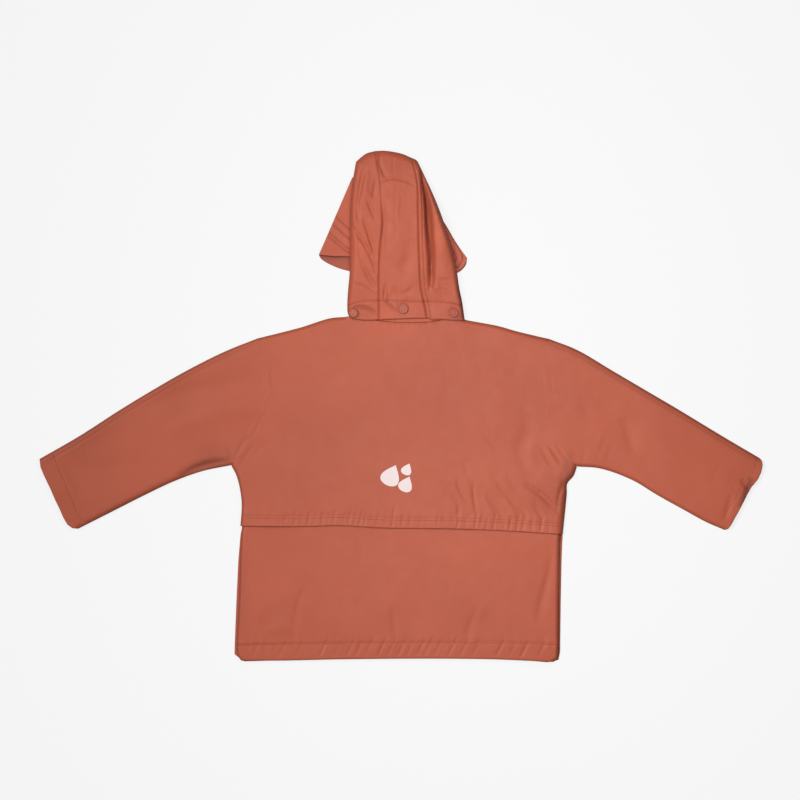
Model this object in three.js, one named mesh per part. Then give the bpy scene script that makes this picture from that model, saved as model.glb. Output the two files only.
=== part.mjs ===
// A child's rain jacket with a press-studded hood, laid flat on its front so that its back shows.
// Millimetres. +X runs to the sleeve on the right of this view, +Y from hem to hood, +Z up from the
// surface that the jacket lies on. The origin is on that surface, below the middle of the outline.
import * as THREE from 'three';
import { mergeVertices } from 'three/addons/utils/BufferGeometryUtils.js';

// Driving dimensions
const wall = 2.0; // coated shell and its lining, taken as one cloth
const peakPly = 1.6; // each ply of the stiffened peak
const collarWall = 1.6;
const gap = 0.3; // between two pieces that are sewn or that lie on each other
const curvedSeamGap = 0.5; // the same across the curved armholes
const bandGap = 0.7; // between the hood and its front band, which both bend over the peak
const lowerTop = 7.2; // height of the lower back
const upperTop = 7.8; // height of the upper back and the sleeves
const flapTop = lowerTop + gap + wall; // height of the flap where it lies on the lower back
const flapOverlap = 45; // how far the lower back goes up under the flap
const hemDepth = { body: 20, flap: 14, cuff: 20, rightCuff: 12, hoodFoot: 21 };
const hemRaise = 0.7; // the turned cloth of a hem, on top of its panel
const hemStep = 1.0; // width over which a hem's edge rises
const edgeRoll = 6.0; // how far in from a folded edge the cloth is level again
const underRoll = 2.6; // radius under the edge of a sleeve
const placketWidth = 56;
const frontNeckDrop = 42; // front neckline below the back neckline
const collarHeight = 28;
const collarInset = 5.5; // how far the flattened collar ends inside each end of the neckline
const studRadius = 6.5;
const studHeight = 1.9;

// Outline of the jacket as it lies, in rows from the neck outwards or from the armhole to the cuff.
// Each sleeve section runs from the over-arm edge to the under-arm edge, bowed towards the body.
const shoulders = {
  left: [{ x: -70, y: 111.9 }, { x: -88.8, y: 110.6 }, { x: -123.8, y: 100.6 }, { x: -151.2, y: 93.1 }],
  right: [{ x: 81.2, y: 108.1 }, { x: 121.2, y: 100.6 }, { x: 161.2, y: 91.9 }],
};
const sleeveSections = {
  left: [
    { overX: -178.8, overY: 85.6, underX: -212.5, underY: -72.5, bow: 30 },
    { overX: -218.8, overY: 69.4, underX: -247.5, underY: -79.4, bow: 18 },
    { overX: -266.2, overY: 45.6, underX: -282.5, underY: -91.9, bow: 7 },
    { overX: -310.0, overY: 20.6, underX: -320.0, underY: -110.2, bow: 1 },
    { overX: -351.2, overY: -4.4, underX: -351.2, underY: -126.4, bow: -1 },
    { overX: -401.2, overY: -36.6, underX: -380.0, underY: -141.0, bow: -2 },
    { overX: -433.5, overY: -56.4, underX: -394.4, underY: -148.1, bow: -3 },
    { overX: -451.4, overY: -67.4, underX: -409.5, underY: -153.4, bow: -4 },
  ],
  right: [
    { overX: 185.0, overY: 84.4, underX: 220.0, underY: -75.0, bow: 24 },
    { overX: 220.0, overY: 70.6, underX: 248.8, underY: -77.5, bow: 14 },
    { overX: 262.5, overY: 45.6, underX: 288.8, underY: -91.9, bow: 5 },
    { overX: 305.0, overY: 20.6, underX: 320.0, underY: -110.6, bow: 0 },
    { overX: 347.5, overY: -4.4, underX: 353.8, underY: -129.4, bow: 0 },
    { overX: 400.0, overY: -36.2, underX: 381.2, underY: -144.4, bow: 0 },
    { overX: 437.5, overY: -58.1, underX: 393.8, underY: -150.0, bow: 0 },
    { overX: 452.2, overY: -67.4, underX: 404.2, underY: -155.1, bow: -3 },
  ],
};
const neckline = [
  { x: -63.8, y: 108.1 }, { x: -32.5, y: 104.4 }, { x: 2.5, y: 103.1 }, { x: 36.2, y: 103.8 }, { x: 73.8, y: 106.2 },
];
const flapSides = {
  left: [{ x: -206.6, y: -84.0 }, { x: -201.9, y: -99.4 }, { x: -199.0, y: -121.2 }, { x: -200.6, y: -149.2 }],
  right: [{ x: 215.6, y: -86.9 }, { x: 207.6, y: -96.4 }, { x: 207.2, y: -108 }, { x: 202.2, y: -159.4 }],
};
const flapHem = [
  { x: -200.6, y: -149.2 }, { x: -115.0, y: -149.6 }, { x: -78.0, y: -148.5 }, { x: -18.8, y: -151.6 },
  { x: 62.5, y: -152.5 }, { x: 142.5, y: -155.6 }, { x: 202.2, y: -159.4 },
];
const frontSides = {
  left: [
    { x: -200.6, y: -161.4 }, { x: -203.2, y: -191.9 }, { x: -205.6, y: -241.9 }, { x: -207.8, y: -298.1 },
    { x: -207.1, y: -306.9 }, { x: -200.8, y: -317.6 },
  ],
  right: [
    { x: 200.3, y: -170.6 }, { x: 199.7, y: -191.9 }, { x: 199.4, y: -241.9 }, { x: 198.8, y: -306.9 },
    { x: 197.2, y: -315.1 }, { x: 190.5, y: -318.1 },
  ],
};
const bottomEdge = [
  { x: -200.8, y: -317.6 }, { x: -82.7, y: -315.6 }, { x: 23.8, y: -314.7 }, { x: 110.0, y: -315.1 },
  { x: 190.5, y: -318.1 },
];
const lowerBackSides = {
  left: [
    { x: -196.4, y: -104.2 }, { x: -196.9, y: -146 }, { x: -198.9, y: -157 }, { x: -202.2, y: -241.9 },
    { x: -204.6, y: -300 }, { x: -198.6, y: -316.4 },
  ],
  right: [
    { x: 201.5, y: -106 }, { x: 199, y: -152 }, { x: 197.0, y: -168 }, { x: 196.0, y: -241.9 },
    { x: 195.6, y: -305 }, { x: 188.6, y: -316.6 },
  ],
};

// Hood, seen from behind: its edges and its two long seams, from the foot to the crown.
const hoodEdges = {
  left: [
    { x: -65.2, y: 110.6 }, { x: -67.1, y: 128.1 }, { x: -66.2, y: 144.4 }, { x: -64.2, y: 168.1 },
    { x: -63.8, y: 236.9 }, { x: -62.6, y: 258.1 }, { x: -60.4, y: 280.6 }, { x: -56.2, y: 305.6 },
  ],
  leftSeam: [
    { x: -27.5, y: 110.6 }, { x: -27.5, y: 168.1 }, { x: -25.9, y: 200.6 }, { x: -23.0, y: 225.6 },
    { x: -24.6, y: 258.1 }, { x: -25.8, y: 280.6 }, { x: -32.5, y: 319.0 },
  ],
  rightSeam: [
    { x: 32.5, y: 110.0 }, { x: 29.4, y: 128.1 }, { x: 25.6, y: 144.4 }, { x: 22.6, y: 190 },
    { x: 21.6, y: 236.9 }, { x: 20.4, y: 280.6 }, { x: 13.6, y: 310.3 },
  ],
  right: [
    { x: 80.2, y: 107.9 }, { x: 76.2, y: 131.9 }, { x: 73.0, y: 146.9 }, { x: 68.3, y: 178.1 },
    { x: 60.5, y: 208.8 }, { x: 51.2, y: 236.9 }, { x: 41.9, y: 260.6 }, { x: 23.1, y: 300.6 },
  ],
};
const crownEdges = {
  left: [{ x: -56.2, y: 305.6 }, { x: -43.8, y: 315.6 }, { x: -32.5, y: 319.0 }],
  centre: [{ x: -32.5, y: 319.0 }, { x: -20, y: 319.4 }, { x: 1.2, y: 315.6 }, { x: 13.6, y: 310.3 }],
  right: [{ x: 13.6, y: 310.3 }, { x: 20.6, y: 306.4 }, { x: 23.1, y: 300.6 }],
};
const hoodFoot = {
  left: [{ x: -65.2, y: 110.6 }, { x: -27.5, y: 110.6 }],
  centre: [{ x: -27.5, y: 110.6 }, { x: 2.5, y: 111.3 }, { x: 32.5, y: 110.0 }],
  right: [{ x: 32.5, y: 110.0 }, { x: 80.2, y: 107.9 }],
};
// How high the hood's front band is lifted off the surface by the peak below it, and the hood's loft.
const bandLift = [
  { y: 109, lift: 0 }, { y: 139, lift: 0 }, { y: 169, lift: 5.9 }, { y: 204, lift: 5.9 },
  { y: 236, lift: 4.1 }, { y: 296, lift: 4.1 }, { y: 322, lift: 0 },
];
const hoodLoft = [
  { y: 109, height: 10.6 }, { y: 132, height: 11.8 }, { y: 160, height: 15.4 }, { y: 215, height: 17 },
  { y: 262, height: 17 }, { y: 284, height: 15.6 }, { y: 320, height: 10 },
];
const hoodRollWidth = [
  { y: 109, width: 4.5 }, { y: 140, width: 6 }, { y: 200, width: 9 }, { y: 270, width: 12 }, { y: 320, width: 15 },
];
// Folds: a ridge where the height is positive, a trough where it is negative.
const hoodFolds = [
  { fromX: -44, fromY: 291, toX: -50.4, toY: 267, height: -1.8, width: 4 },
  { fromX: -50.4, fromY: 267, toX: -52, toY: 235, height: -2.0, width: 4.5 },
  { fromX: -40.9, fromY: 257, toX: -27, toY: 231, height: -1.8, width: 3.5 },
  { fromX: -58, fromY: 224, toX: -30, toY: 182, height: -1.8, width: 3.6 },
  { fromX: -45.6, fromY: 235, toX: -31, toY: 191, height: -1.8, width: 3.6 },
  { fromX: -52, fromY: 200, toX: -32, toY: 149, height: -1.8, width: 4 },
  { fromX: -54, fromY: 160, toX: -31, toY: 138, height: -1.6, width: 3.6 },
  { fromX: -57, fromY: 206, toX: -40, toY: 170, height: 1.6, width: 5 },
  { fromX: -44, fromY: 272, toX: -38, toY: 245, height: 1.6, width: 6 },
  { fromX: 24.5, fromY: 294, toX: 31.5, toY: 260, height: -5, width: 4.6 },
  { fromX: 31.5, fromY: 260, toX: 33, toY: 226, height: -4.5, width: 4.6 },
  { fromX: 34, fromY: 218, toX: 38.8, toY: 184, height: -4, width: 5.2 },
  { fromX: 38.8, fromY: 176, toX: 38.8, toY: 152, height: -3, width: 6 },
  { fromX: 37, fromY: 262, toX: 47, toY: 222, height: 3.4, width: 8 },
  { fromX: 50, fromY: 205, toX: 60, toY: 150, height: 3.4, width: 11 },
  { fromX: -24, fromY: 314, toX: -15, toY: 286, height: -3.4, width: 3.6 },
  { fromX: 0, fromY: 262, toX: 2, toY: 180, height: 1.6, width: 16 },
  { fromX: -14, fromY: 148, toX: -11, toY: 132, height: -1.8, width: 3.2 },
];
const seamGrooves = { left: { depth: 2.4, width: 3.2 }, right: { depth: 1.2, width: 2.6 } };

const upperFolds = [
  { fromX: 66, fromY: -104, toX: 92, toY: -134, height: 1.0, width: 5 },
  { fromX: 88, fromY: -92, toX: 116, toY: -130, height: 1.2, width: 5 },
  { fromX: 108, fromY: -78, toX: 138, toY: -124, height: 1.4, width: 6 },
  { fromX: 132, fromY: -66, toX: 170, toY: -128, height: 1.8, width: 7 },
  { fromX: 172, fromY: -92, toX: 198, toY: -120, height: 2.0, width: 6 },
  { fromX: -168, fromY: 40, toX: -190, toY: -40, height: -0.9, width: 7 },
  { fromX: 182, fromY: 36, toX: 180, toY: -50, height: -0.9, width: 7 },
  { fromX: -60, fromY: 20, toX: 60, toY: 30, height: 0.7, width: 60 },
];
const lowerFolds = [
  { fromX: -131, fromY: -215, toX: -136, toY: -285, height: -1.1, width: 9 },
  { fromX: -40, fromY: -255, toX: -38, toY: -290, height: -0.9, width: 8 },
  { fromX: 84, fromY: -235, toX: 90, toY: -285, height: -1.0, width: 10 },
  { fromX: -190, fromY: -165, toX: -188, toY: -215, height: -0.8, width: 6 },
];
const sleeveFolds = {
  left: [
    { fromX: -300, fromY: -20, toX: -230, toY: -38, height: 0.9, width: 18 },
    { fromX: -262, fromY: 10, toX: -196, toY: -14, height: -0.9, width: 9 },
    { fromX: -385, fromY: -74, toX: -330, toY: -50, height: 0.7, width: 16 },
  ],
  right: [
    { fromX: 254, fromY: -4, toX: 262, toY: -40, height: -0.9, width: 8 },
    { fromX: 320, fromY: -30, toX: 372, toY: -72, height: 0.8, width: 18 },
    { fromX: 424, fromY: -92, toX: 434, toY: -104, height: -1.2, width: 6 },
  ],
};

// Face opening and front band under the hood, and the peak that lies below it.
const faceOpening = [
  { x: -34, y: 109.5 }, { x: -32, y: 150 }, { x: -34, y: 205 }, { x: -24, y: 238 }, { x: -6, y: 248 },
  { x: 14, y: 240 }, { x: 26, y: 205 }, { x: 38, y: 150 }, { x: 44, y: 108.5 },
];
const peakOutline = {
  left: [{ x: -102.6, y: 189.4 }, { x: -82.1, y: 236.9 }, { x: -61.0, y: 286.0 }],
  right: [{ x: 82.5, y: 187.5 }, { x: 69.9, y: 208.1 }, { x: 54.6, y: 233.1 }, { x: 43.0, y: 261.5 }],
  top: [{ x: -61.0, y: 286.0 }, { x: -24, y: 294 }, { x: 14, y: 288 }, { x: 43.0, y: 261.5 }],
  underEdge: [
    { x: -102.6, y: 189.4 }, { x: -96.2, y: 180.6 }, { x: -82.5, y: 173.1 }, { x: -64.6, y: 168.5 },
    { x: -10, y: 162 }, { x: 40, y: 162 }, { x: 72.4, y: 166.9 }, { x: 81.0, y: 177.4 }, { x: 82.5, y: 187.5 },
  ],
  upperEdge: [
    { x: -102.6, y: 189.4 }, { x: -84, y: 187.6 }, { x: -64, y: 187.2 }, { x: -10, y: 180 }, { x: 40, y: 168 },
    { x: 71.6, y: 168.6 }, { x: 80.0, y: 178.4 }, { x: 82.5, y: 187.5 },
  ],
};
const peakMouth = { fromX: -100, fromY: 188, toX: -56, toY: 187, height: 2.0, width: 14 };

const studs = [
  { name: 'hood_stud_left', x: -59.0, y: 116.6, lean: -0.2 },
  { name: 'hood_stud_centre', x: 2.5, y: 121.9, lean: 0 },
  { name: 'hood_stud_right', x: 65.4, y: 116.8, lean: 0.16 },
];

// Small helpers
const curveThrough = (rows) =>
  new THREE.CatmullRomCurve3(rows.map(({ x, y }) => new THREE.Vector3(x, y, 0)), false, 'centripetal');
const quarter = (share) => Math.sqrt(1 - (1 - Math.min(share, 1)) ** 2);

// Reads a column of a table of rows in rising y, eased between its rows.
function fromTable(rows, column, y) {
  const last = rows.length - 1;
  if (y <= rows[0].y) return rows[0][column];
  if (y >= rows[last].y) return rows[last][column];
  const next = rows.findIndex((row) => row.y > y);
  const share = THREE.MathUtils.smoothstep(y, rows[next - 1].y, rows[next].y);
  return THREE.MathUtils.lerp(rows[next - 1][column], rows[next][column], share);
}

function distanceToSegment(x, y, { fromX, fromY, toX, toY }) {
  const dx = toX - fromX;
  const dy = toY - fromY;
  const share = THREE.MathUtils.clamp(((x - fromX) * dx + (y - fromY) * dy) / (dx * dx + dy * dy), 0, 1);
  return Math.hypot(x - fromX - share * dx, y - fromY - share * dy);
}

function distanceToCurve(line, x, y) {
  let nearest = Infinity;
  for (let i = 1; i < line.length; i += 1) {
    const segment = { fromX: line[i - 1].x, fromY: line[i - 1].y, toX: line[i].x, toY: line[i].y };
    nearest = Math.min(nearest, distanceToSegment(x, y, segment));
  }
  return nearest;
}

const touching = 0.25; // a boundary point this near to a folded edge lies on it
const settled = (inset, isBoundary) => (isBoundary && inset < touching ? 0 : inset);
const isEnd = (...shares) => shares.some((share) => share === 0 || share === 1);
const lineSteps = 60;
const sampled = (rows) => curveThrough(rows).getPoints(lineSteps);
const foldHeight = (folds, x, y) =>
  folds.reduce((sum, fold) => sum + fold.height * Math.exp(-((distanceToSegment(x, y, fold) / fold.width) ** 2)), 0);

// Spreads steps from 0 to 1 with extra ones close to each end, where an edge rolls over.
function stepsAcross(width, count, nearStart, nearEnd) {
  const start = nearStart.map((inset) => inset / width);
  const end = nearEnd.map((inset) => 1 - inset / width).reverse();
  const first = start.length ? start[start.length - 1] : 0;
  const last = end.length ? end[0] : 1;
  const middle = Array.from({ length: count + 1 }, (_, i) => first + ((last - first) * i) / count);
  return [...new Set([0, ...start, ...middle, ...end, 1])].sort((a, b) => a - b)
    .filter((step, i, all) => i === 0 || step - all[i - 1] > 1e-6);
}

// A four-sided patch between curves: across runs 0 to 1 from left to right, along from foot to top.
function patch({ left, right, foot, top }) {
  const corners = [foot.getPointAt(0), foot.getPointAt(1), top.getPointAt(0), top.getPointAt(1)];
  return (across, along) => {
    const point = foot.getPointAt(across).clone().multiplyScalar(1 - along);
    point.addScaledVector(top.getPointAt(across), along);
    point.addScaledVector(left.getPointAt(along), 1 - across);
    point.addScaledVector(right.getPointAt(along), across);
    point.addScaledVector(corners[0], -(1 - across) * (1 - along));
    point.addScaledVector(corners[1], -across * (1 - along));
    point.addScaledVector(corners[2], -(1 - across) * along);
    point.addScaledVector(corners[3], -across * along);
    return point;
  };
}

// Makes a closed cloth wall from rows of outer points. Each point has its place, the extra cloth
// raised on it, whether it is an edge that stands on the piece below, and that piece's clear height.
function clothWall(rows, thickness, closedAcross = false) {
  const alongCount = rows.length;
  const acrossCount = rows[0].length;
  const place = (j, i) => rows[j][i].place;
  const before = (i) => (closedAcross ? (i + acrossCount - 1) % acrossCount : Math.max(i - 1, 0));
  const after = (i) => (closedAcross ? (i + 1) % acrossCount : Math.min(i + 1, acrossCount - 1));
  const acrossAt = (j, i) => place(j, after(i)).clone().sub(place(j, before(i)));
  const alongAt = (j, i) => place(Math.min(j + 1, alongCount - 1), i).clone().sub(place(Math.max(j - 1, 0), i));
  const normalAt = (j, i) => acrossAt(j, i).cross(alongAt(j, i)).normalize();
  const facing = Math.sign(normalAt(Math.floor(alongCount / 2), Math.floor(acrossCount * 0.3)).z);
  // A cut edge is square to the surface that the jacket lies on, so that two sewn edges stay parallel.
  const squareTo = (normal, edge) => {
    const outwards = new THREE.Vector3(edge.y, -edge.x, 0).normalize();
    normal.addScaledVector(outwards, -normal.dot(outwards)).normalize();
  };
  const outer = [];
  const inner = [];
  rows.forEach((row, j) => row.forEach((point, i) => {
    const normal = normalAt(j, i).multiplyScalar(facing);
    const isRowEnd = j === 0 || j === alongCount - 1;
    const isColumnEnd = !closedAcross && (i === 0 || i === acrossCount - 1);
    if (point.stands) {
      normal.setZ(0).normalize();
      if (point.seam) squareTo(normal, alongAt(j, i));
    } else if (isRowEnd) squareTo(normal, acrossAt(j, i));
    else if (isColumnEnd) squareTo(normal, alongAt(j, i));
    outer.push(point.place.clone().addScaledVector(normal, point.raise ?? 0));
    const inside = point.place.clone().addScaledVector(normal, -thickness);
    inner.push(inside.setZ(Math.max(inside.z, point.floor ?? 0)));
  }));
  const points = [...outer, ...inner];
  const innerStart = outer.length;
  const triangles = [];
  const quad = (a, b, c, d) => triangles.push(a, b, c, a, c, d);
  const index = (j, i) => j * acrossCount + (i % acrossCount);
  const acrossCells = closedAcross ? acrossCount : acrossCount - 1;
  for (let j = 0; j < alongCount - 1; j += 1) {
    for (let i = 0; i < acrossCells; i += 1) {
      const cell = [index(j, i), index(j, i + 1), index(j + 1, i + 1), index(j + 1, i)];
      quad(...cell);
      quad(...cell.map((vertex) => vertex + innerStart).reverse());
    }
  }
  const rim = (a, b) => quad(a, a + innerStart, b + innerStart, b);
  for (let i = 0; i < acrossCells; i += 1) {
    rim(index(0, i), index(0, i + 1));
    rim(index(alongCount - 1, i + 1), index(alongCount - 1, i));
  }
  if (!closedAcross) {
    for (let j = 0; j < alongCount - 1; j += 1) {
      rim(index(j + 1, 0), index(j, 0));
      rim(index(j, acrossCount - 1), index(j + 1, acrossCount - 1));
    }
  }
  return solidFrom(points, triangles);
}

// Closed geometry from points and triangles, turned so that its faces point out.
function solidFrom(points, triangles) {
  let volume = 0;
  for (let i = 0; i < triangles.length; i += 3) {
    const [a, b, c] = [points[triangles[i]], points[triangles[i + 1]], points[triangles[i + 2]]];
    volume += a.dot(b.clone().cross(c));
  }
  const ordered = volume > 0 ? triangles : [...triangles].reverse();
  const geometry = new THREE.BufferGeometry();
  geometry.setAttribute('position', new THREE.Float32BufferAttribute(points.flatMap((p) => p.toArray()), 3));
  geometry.setIndex(ordered);
  return geometry;
}

// The silhouette's folded edges, from the neck to the cuffs and from the cuffs to the flap's corners.
const overEdges = {};
const underEdges = {};
for (const side of ['left', 'right']) {
  const sections = sleeveSections[side];
  overEdges[side] = sections.map(({ overX, overY }) => ({ x: overX, y: overY }));
  underEdges[side] = sections.map(({ underX, underY }) => ({ x: underX, y: underY }));
}
const foldedEdges = ['left', 'right'].flatMap((side) => [
  sampled([...shoulders[side], ...overEdges[side]]),
  sampled([...underEdges[side]].reverse()),
  sampled([underEdges[side][0], ...flapSides[side]]),
]);
const fromFoldedEdge = (x, y) => Math.min(...foldedEdges.map((line) => distanceToCurve(line, x, y)));

// Armhole curves run from the under-arm point up to the shoulder edge.
const armholeSteps = 12;
function armhole(side, shift = 0) {
  const [start] = sleeveSections[side];
  const inwards = side === 'left' ? 1 : -1;
  return Array.from({ length: armholeSteps + 1 }, (_, i) => {
    const share = i / armholeSteps;
    return {
      x: THREE.MathUtils.lerp(start.underX, start.overX, share)
        + inwards * (start.bow * Math.sin(Math.PI * share) - shift),
      y: THREE.MathUtils.lerp(start.underY, start.overY, share),
    };
  });
}

const materials = {
  cloth: new THREE.MeshStandardMaterial({ name: 'coated_cloth', color: 0xbe6450, roughness: 0.62, metalness: 0 }),
  stud: new THREE.MeshStandardMaterial({ name: 'stud_plastic', color: 0xc06b56, roughness: 0.45, metalness: 0 }),
};
const jacket = new THREE.Group();
jacket.name = 'kids_rain_jacket';

function add(name, geometry, material = materials.cloth) {
  const mesh = new THREE.Mesh(geometry, material);
  mesh.name = name;
  jacket.add(mesh);
  return mesh;
}

// Fronts: flat panels on the surface, with the placket between them.
function frontPanel(side) {
  const sign = side === 'left' ? -1 : 1;
  const seamX = sign * (placketWidth / 2 + gap);
  const hem = curveThrough(bottomEdge).getPoints(lineSteps).filter(({ x }) => sign * x > Math.abs(seamX));
  const hemRows = sign < 0 ? hem : [...hem].reverse();
  const neckSide = neckline[side === 'left' ? 0 : neckline.length - 1];
  const neckRow = (share) => ({
    x: THREE.MathUtils.lerp(neckSide.x, seamX, share),
    y: neckSide.y - frontNeckDrop * Math.sin((Math.PI / 2) * share),
  });
  const outline = [
    ...[0, 0.15, 0.35, 0.6, 0.85, 1].map(neckRow).reverse(),
    ...shoulders[side],
    ...armhole(side).reverse(),
    ...flapSides[side],
    ...frontSides[side].slice(0, -1),
    ...hemRows.filter((_, i) => i % 8 === 0),
    { x: seamX, y: THREE.MathUtils.lerp(bottomEdge[1].y, bottomEdge[2].y, 0.6) },
  ];
  const shape = new THREE.Shape(outline.map(({ x, y }) => new THREE.Vector2(x, y)));
  return mergedPlate(shape, wall);
}

function mergedPlate(shape, thickness) {
  const plate = new THREE.ExtrudeGeometry(shape, { depth: thickness, bevelEnabled: false, curveSegments: 1 });
  plate.deleteAttribute('normal');
  plate.deleteAttribute('uv');
  return mergeVertices(plate);
}

function frontPlacket() {
  const half = placketWidth / 2;
  const shape = new THREE.Shape([
    new THREE.Vector2(-half, -315.2), new THREE.Vector2(half, -314.8),
    new THREE.Vector2(half, neckline[2].y + 4 - frontNeckDrop), new THREE.Vector2(-half, neckline[2].y + 4 - frontNeckDrop),
  ]);
  return mergedPlate(shape, wall);
}

// Lower back: from under the flap to the turned bottom hem, its sides rolling down onto the fronts.
function lowerBack() {
  const sides = { left: sampled(lowerBackSides.left), right: sampled(lowerBackSides.right) };
  const area = patch({
    left: curveThrough([...lowerBackSides.left].reverse()),
    right: curveThrough([...lowerBackSides.right].reverse()),
    foot: curveThrough([lowerBackSides.left.at(-1), ...bottomEdge.slice(1, -1), lowerBackSides.right.at(-1)]),
    top: curveThrough([lowerBackSides.left[0], { x: 0, y: -106 }, lowerBackSides.right[0]]),
  });
  const length = bottomEdge[1].y - lowerBackSides.left[0].y;
  const hemShare = hemDepth.body / Math.abs(length);
  const alongSteps = stepsAcross(Math.abs(length), 12, [hemDepth.body - hemStep, hemDepth.body], []);
  const acrossSteps = stepsAcross(400, 24, [1, 2.6, 4.9], [1, 2.6, 4.9]);
  const edgeRise = lowerTop - wall - gap;
  const rows = alongSteps.map((along) => acrossSteps.map((across) => {
    const { x, y } = area(across, along);
    const nearest = Math.min(distanceToCurve(sides.left, x, y), distanceToCurve(sides.right, x, y));
    const inset = settled(nearest, isEnd(across));
    const rolled = quarter(inset / edgeRise);
    const top = wall + gap + (edgeRise + foldHeight(lowerFolds, x, y)) * rolled;
    const stands = inset === 0;
    const raise = along < hemShare ? hemRaise * rolled : 0;
    return { place: new THREE.Vector3(x, y, top), raise, stands, floor: wall + gap };
  }));
  return clothWall(rows, wall);
}

// Upper back: shoulders, armholes and the free flap over the lower back.
function upperHeight(x, y, inset) {
  const flapShare = THREE.MathUtils.smoothstep(-y, 45, flapStart);
  const level = THREE.MathUtils.lerp(upperTop, flapTop, flapShare);
  const rise = level - wall - gap;
  const reach = Math.max(edgeRoll, rise);
  return wall + gap + (rise + foldHeight(upperFolds, x, y)) * quarter(inset / reach);
}
const flapStart = 149 - flapOverlap - 6; // where the flap has reached its full height, measured down from y = 0

function upperBack() {
  const sideCurve = (side) => {
    const joined = new THREE.CurvePath();
    const holeRows = armhole(side);
    joined.add(curveThrough([...[...flapSides[side]].reverse(), holeRows[0]]));
    joined.add(curveThrough(holeRows));
    return joined;
  };
  const area = patch({
    left: sideCurve('left'),
    right: sideCurve('right'),
    foot: curveThrough(flapHem),
    top: curveThrough([
      overEdges.left[0], ...[...shoulders.left].reverse(), ...neckline, ...shoulders.right, overEdges.right[0],
    ]),
  });
  const alongSteps = stepsAcross(245, 18, [hemDepth.flap - hemStep, hemDepth.flap], [0.8, 2.4, 5]);
  const acrossSteps = stepsAcross(400, 30, [1, 2.8, 6], [1, 2.8, 6]);
  const hemShare = hemDepth.flap / 245;
  const rows = alongSteps.map((along) => acrossSteps.map((across) => {
    const { x, y } = area(across, along);
    const inset = settled(fromFoldedEdge(x, y), isEnd(across, along));
    const top = upperHeight(x, y, inset);
    const stands = inset === 0;
    const raise = along < hemShare && !stands ? hemRaise : 0;
    return { place: new THREE.Vector3(x, y, top), raise, stands, floor: wall + gap };
  }));
  return clothWall(rows, wall);
}

// Sleeves: flattened tubes from the armhole to the cuff, through the sections of the table.
function sleeve(side) {
  const sections = sleeveSections[side];
  const inwards = side === 'left' ? 1 : -1;
  const columns = ['overX', 'overY', 'underX', 'underY', 'bow'];
  const sectionAt = (share) => {
    const place = share * (sections.length - 1);
    const index = Math.min(Math.floor(place), sections.length - 2);
    return Object.fromEntries(columns.map((column) => [column, THREE.MathUtils.lerp(
      sections[index][column], sections[index + 1][column], place - index,
    )]));
  };
  const cuff = side === 'left' ? hemDepth.cuff : hemDepth.rightCuff;
  const reach = 300;
  const alongSteps = [0, ...stepsAcross(reach, 14, [], [cuff - hemStep, cuff]).slice(1)];
  const rows = alongSteps.map((along) => {
    const section = sectionAt(along);
    const width = Math.hypot(section.overX - section.underX, section.overY - section.underY);
    const topSteps = stepsAcross(width, 8, [1, 2.8, 6], [1, 2.8, 6]);
    const underSteps = stepsAcross(width, 3, [0.7, 2.6], [0.7, 2.6]).slice(1, -1).reverse();
    const pointAt = (across, isTop) => {
      const x = THREE.MathUtils.lerp(section.overX, section.underX, across)
        + inwards * (section.bow * Math.sin(Math.PI * across) - (along === 0 ? curvedSeamGap : 0));
      const y = THREE.MathUtils.lerp(section.overY, section.underY, across);
      const inset = fromFoldedEdge(x, y);
      const onEdge = across === 0 || across === 1 ? 0 : inset;
      const rise = upperTop - underRoll + foldHeight(sleeveFolds[side], x, y);
      const z = isTop
        ? underRoll + rise * quarter(onEdge / edgeRoll)
        : underRoll * (1 - quarter(onEdge / underRoll));
      const inHem = along > 1 - cuff / reach;
      return { place: new THREE.Vector3(x, y, z), raise: inHem && isTop && onEdge > 0 ? hemRaise : 0 };
    };
    return [...topSteps.map((across) => pointAt(across, true)), ...underSteps.map((across) => pointAt(across, false))];
  });
  return clothWall(rows, wall, true);
}

// Hood: three panels share one height over the surface, so that their seams stay level.
const hoodLines = {
  edge: sampled([...hoodEdges.left, ...crownEdges.left.slice(1), ...crownEdges.centre.slice(1),
    ...crownEdges.right.slice(1), ...[...hoodEdges.right].reverse().slice(1)]),
  leftSeam: sampled(hoodEdges.leftSeam),
  rightSeam: sampled(hoodEdges.rightSeam),
};
const bandTop = (y) => fromTable(bandLift, 'lift', y) + wall;

function hoodHeight(x, y, isBoundary = false) {
  const edgeLines = [sampledHood.left, sampledHood.right, sampledHood.crown];
  const inset = settled(Math.min(...edgeLines.map((line) => distanceToCurve(line, x, y))), isBoundary);
  const groove = (line, { depth, width }) => depth * Math.exp(-((distanceToCurve(line, x, y) / width) ** 2));
  const foot = THREE.MathUtils.smoothstep(y, 128, 160);
  const form = fromTable(hoodLoft, 'height', y) + foot * (foldHeight(hoodFolds, x, y)
    - groove(hoodLines.leftSeam, seamGrooves.left) - groove(hoodLines.rightSeam, seamGrooves.right));
  const base = bandTop(y) + bandGap;
  const share = quarter(inset / fromTable(hoodRollWidth, 'width', y));
  return { height: base + Math.max(form - base, wall) * share, stands: inset === 0 };
}
const sampledHood = {
  left: sampled(hoodEdges.left),
  right: sampled(hoodEdges.right),
  crown: [...sampled(crownEdges.left), ...sampled(crownEdges.centre), ...sampled(crownEdges.right)],
};

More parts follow.
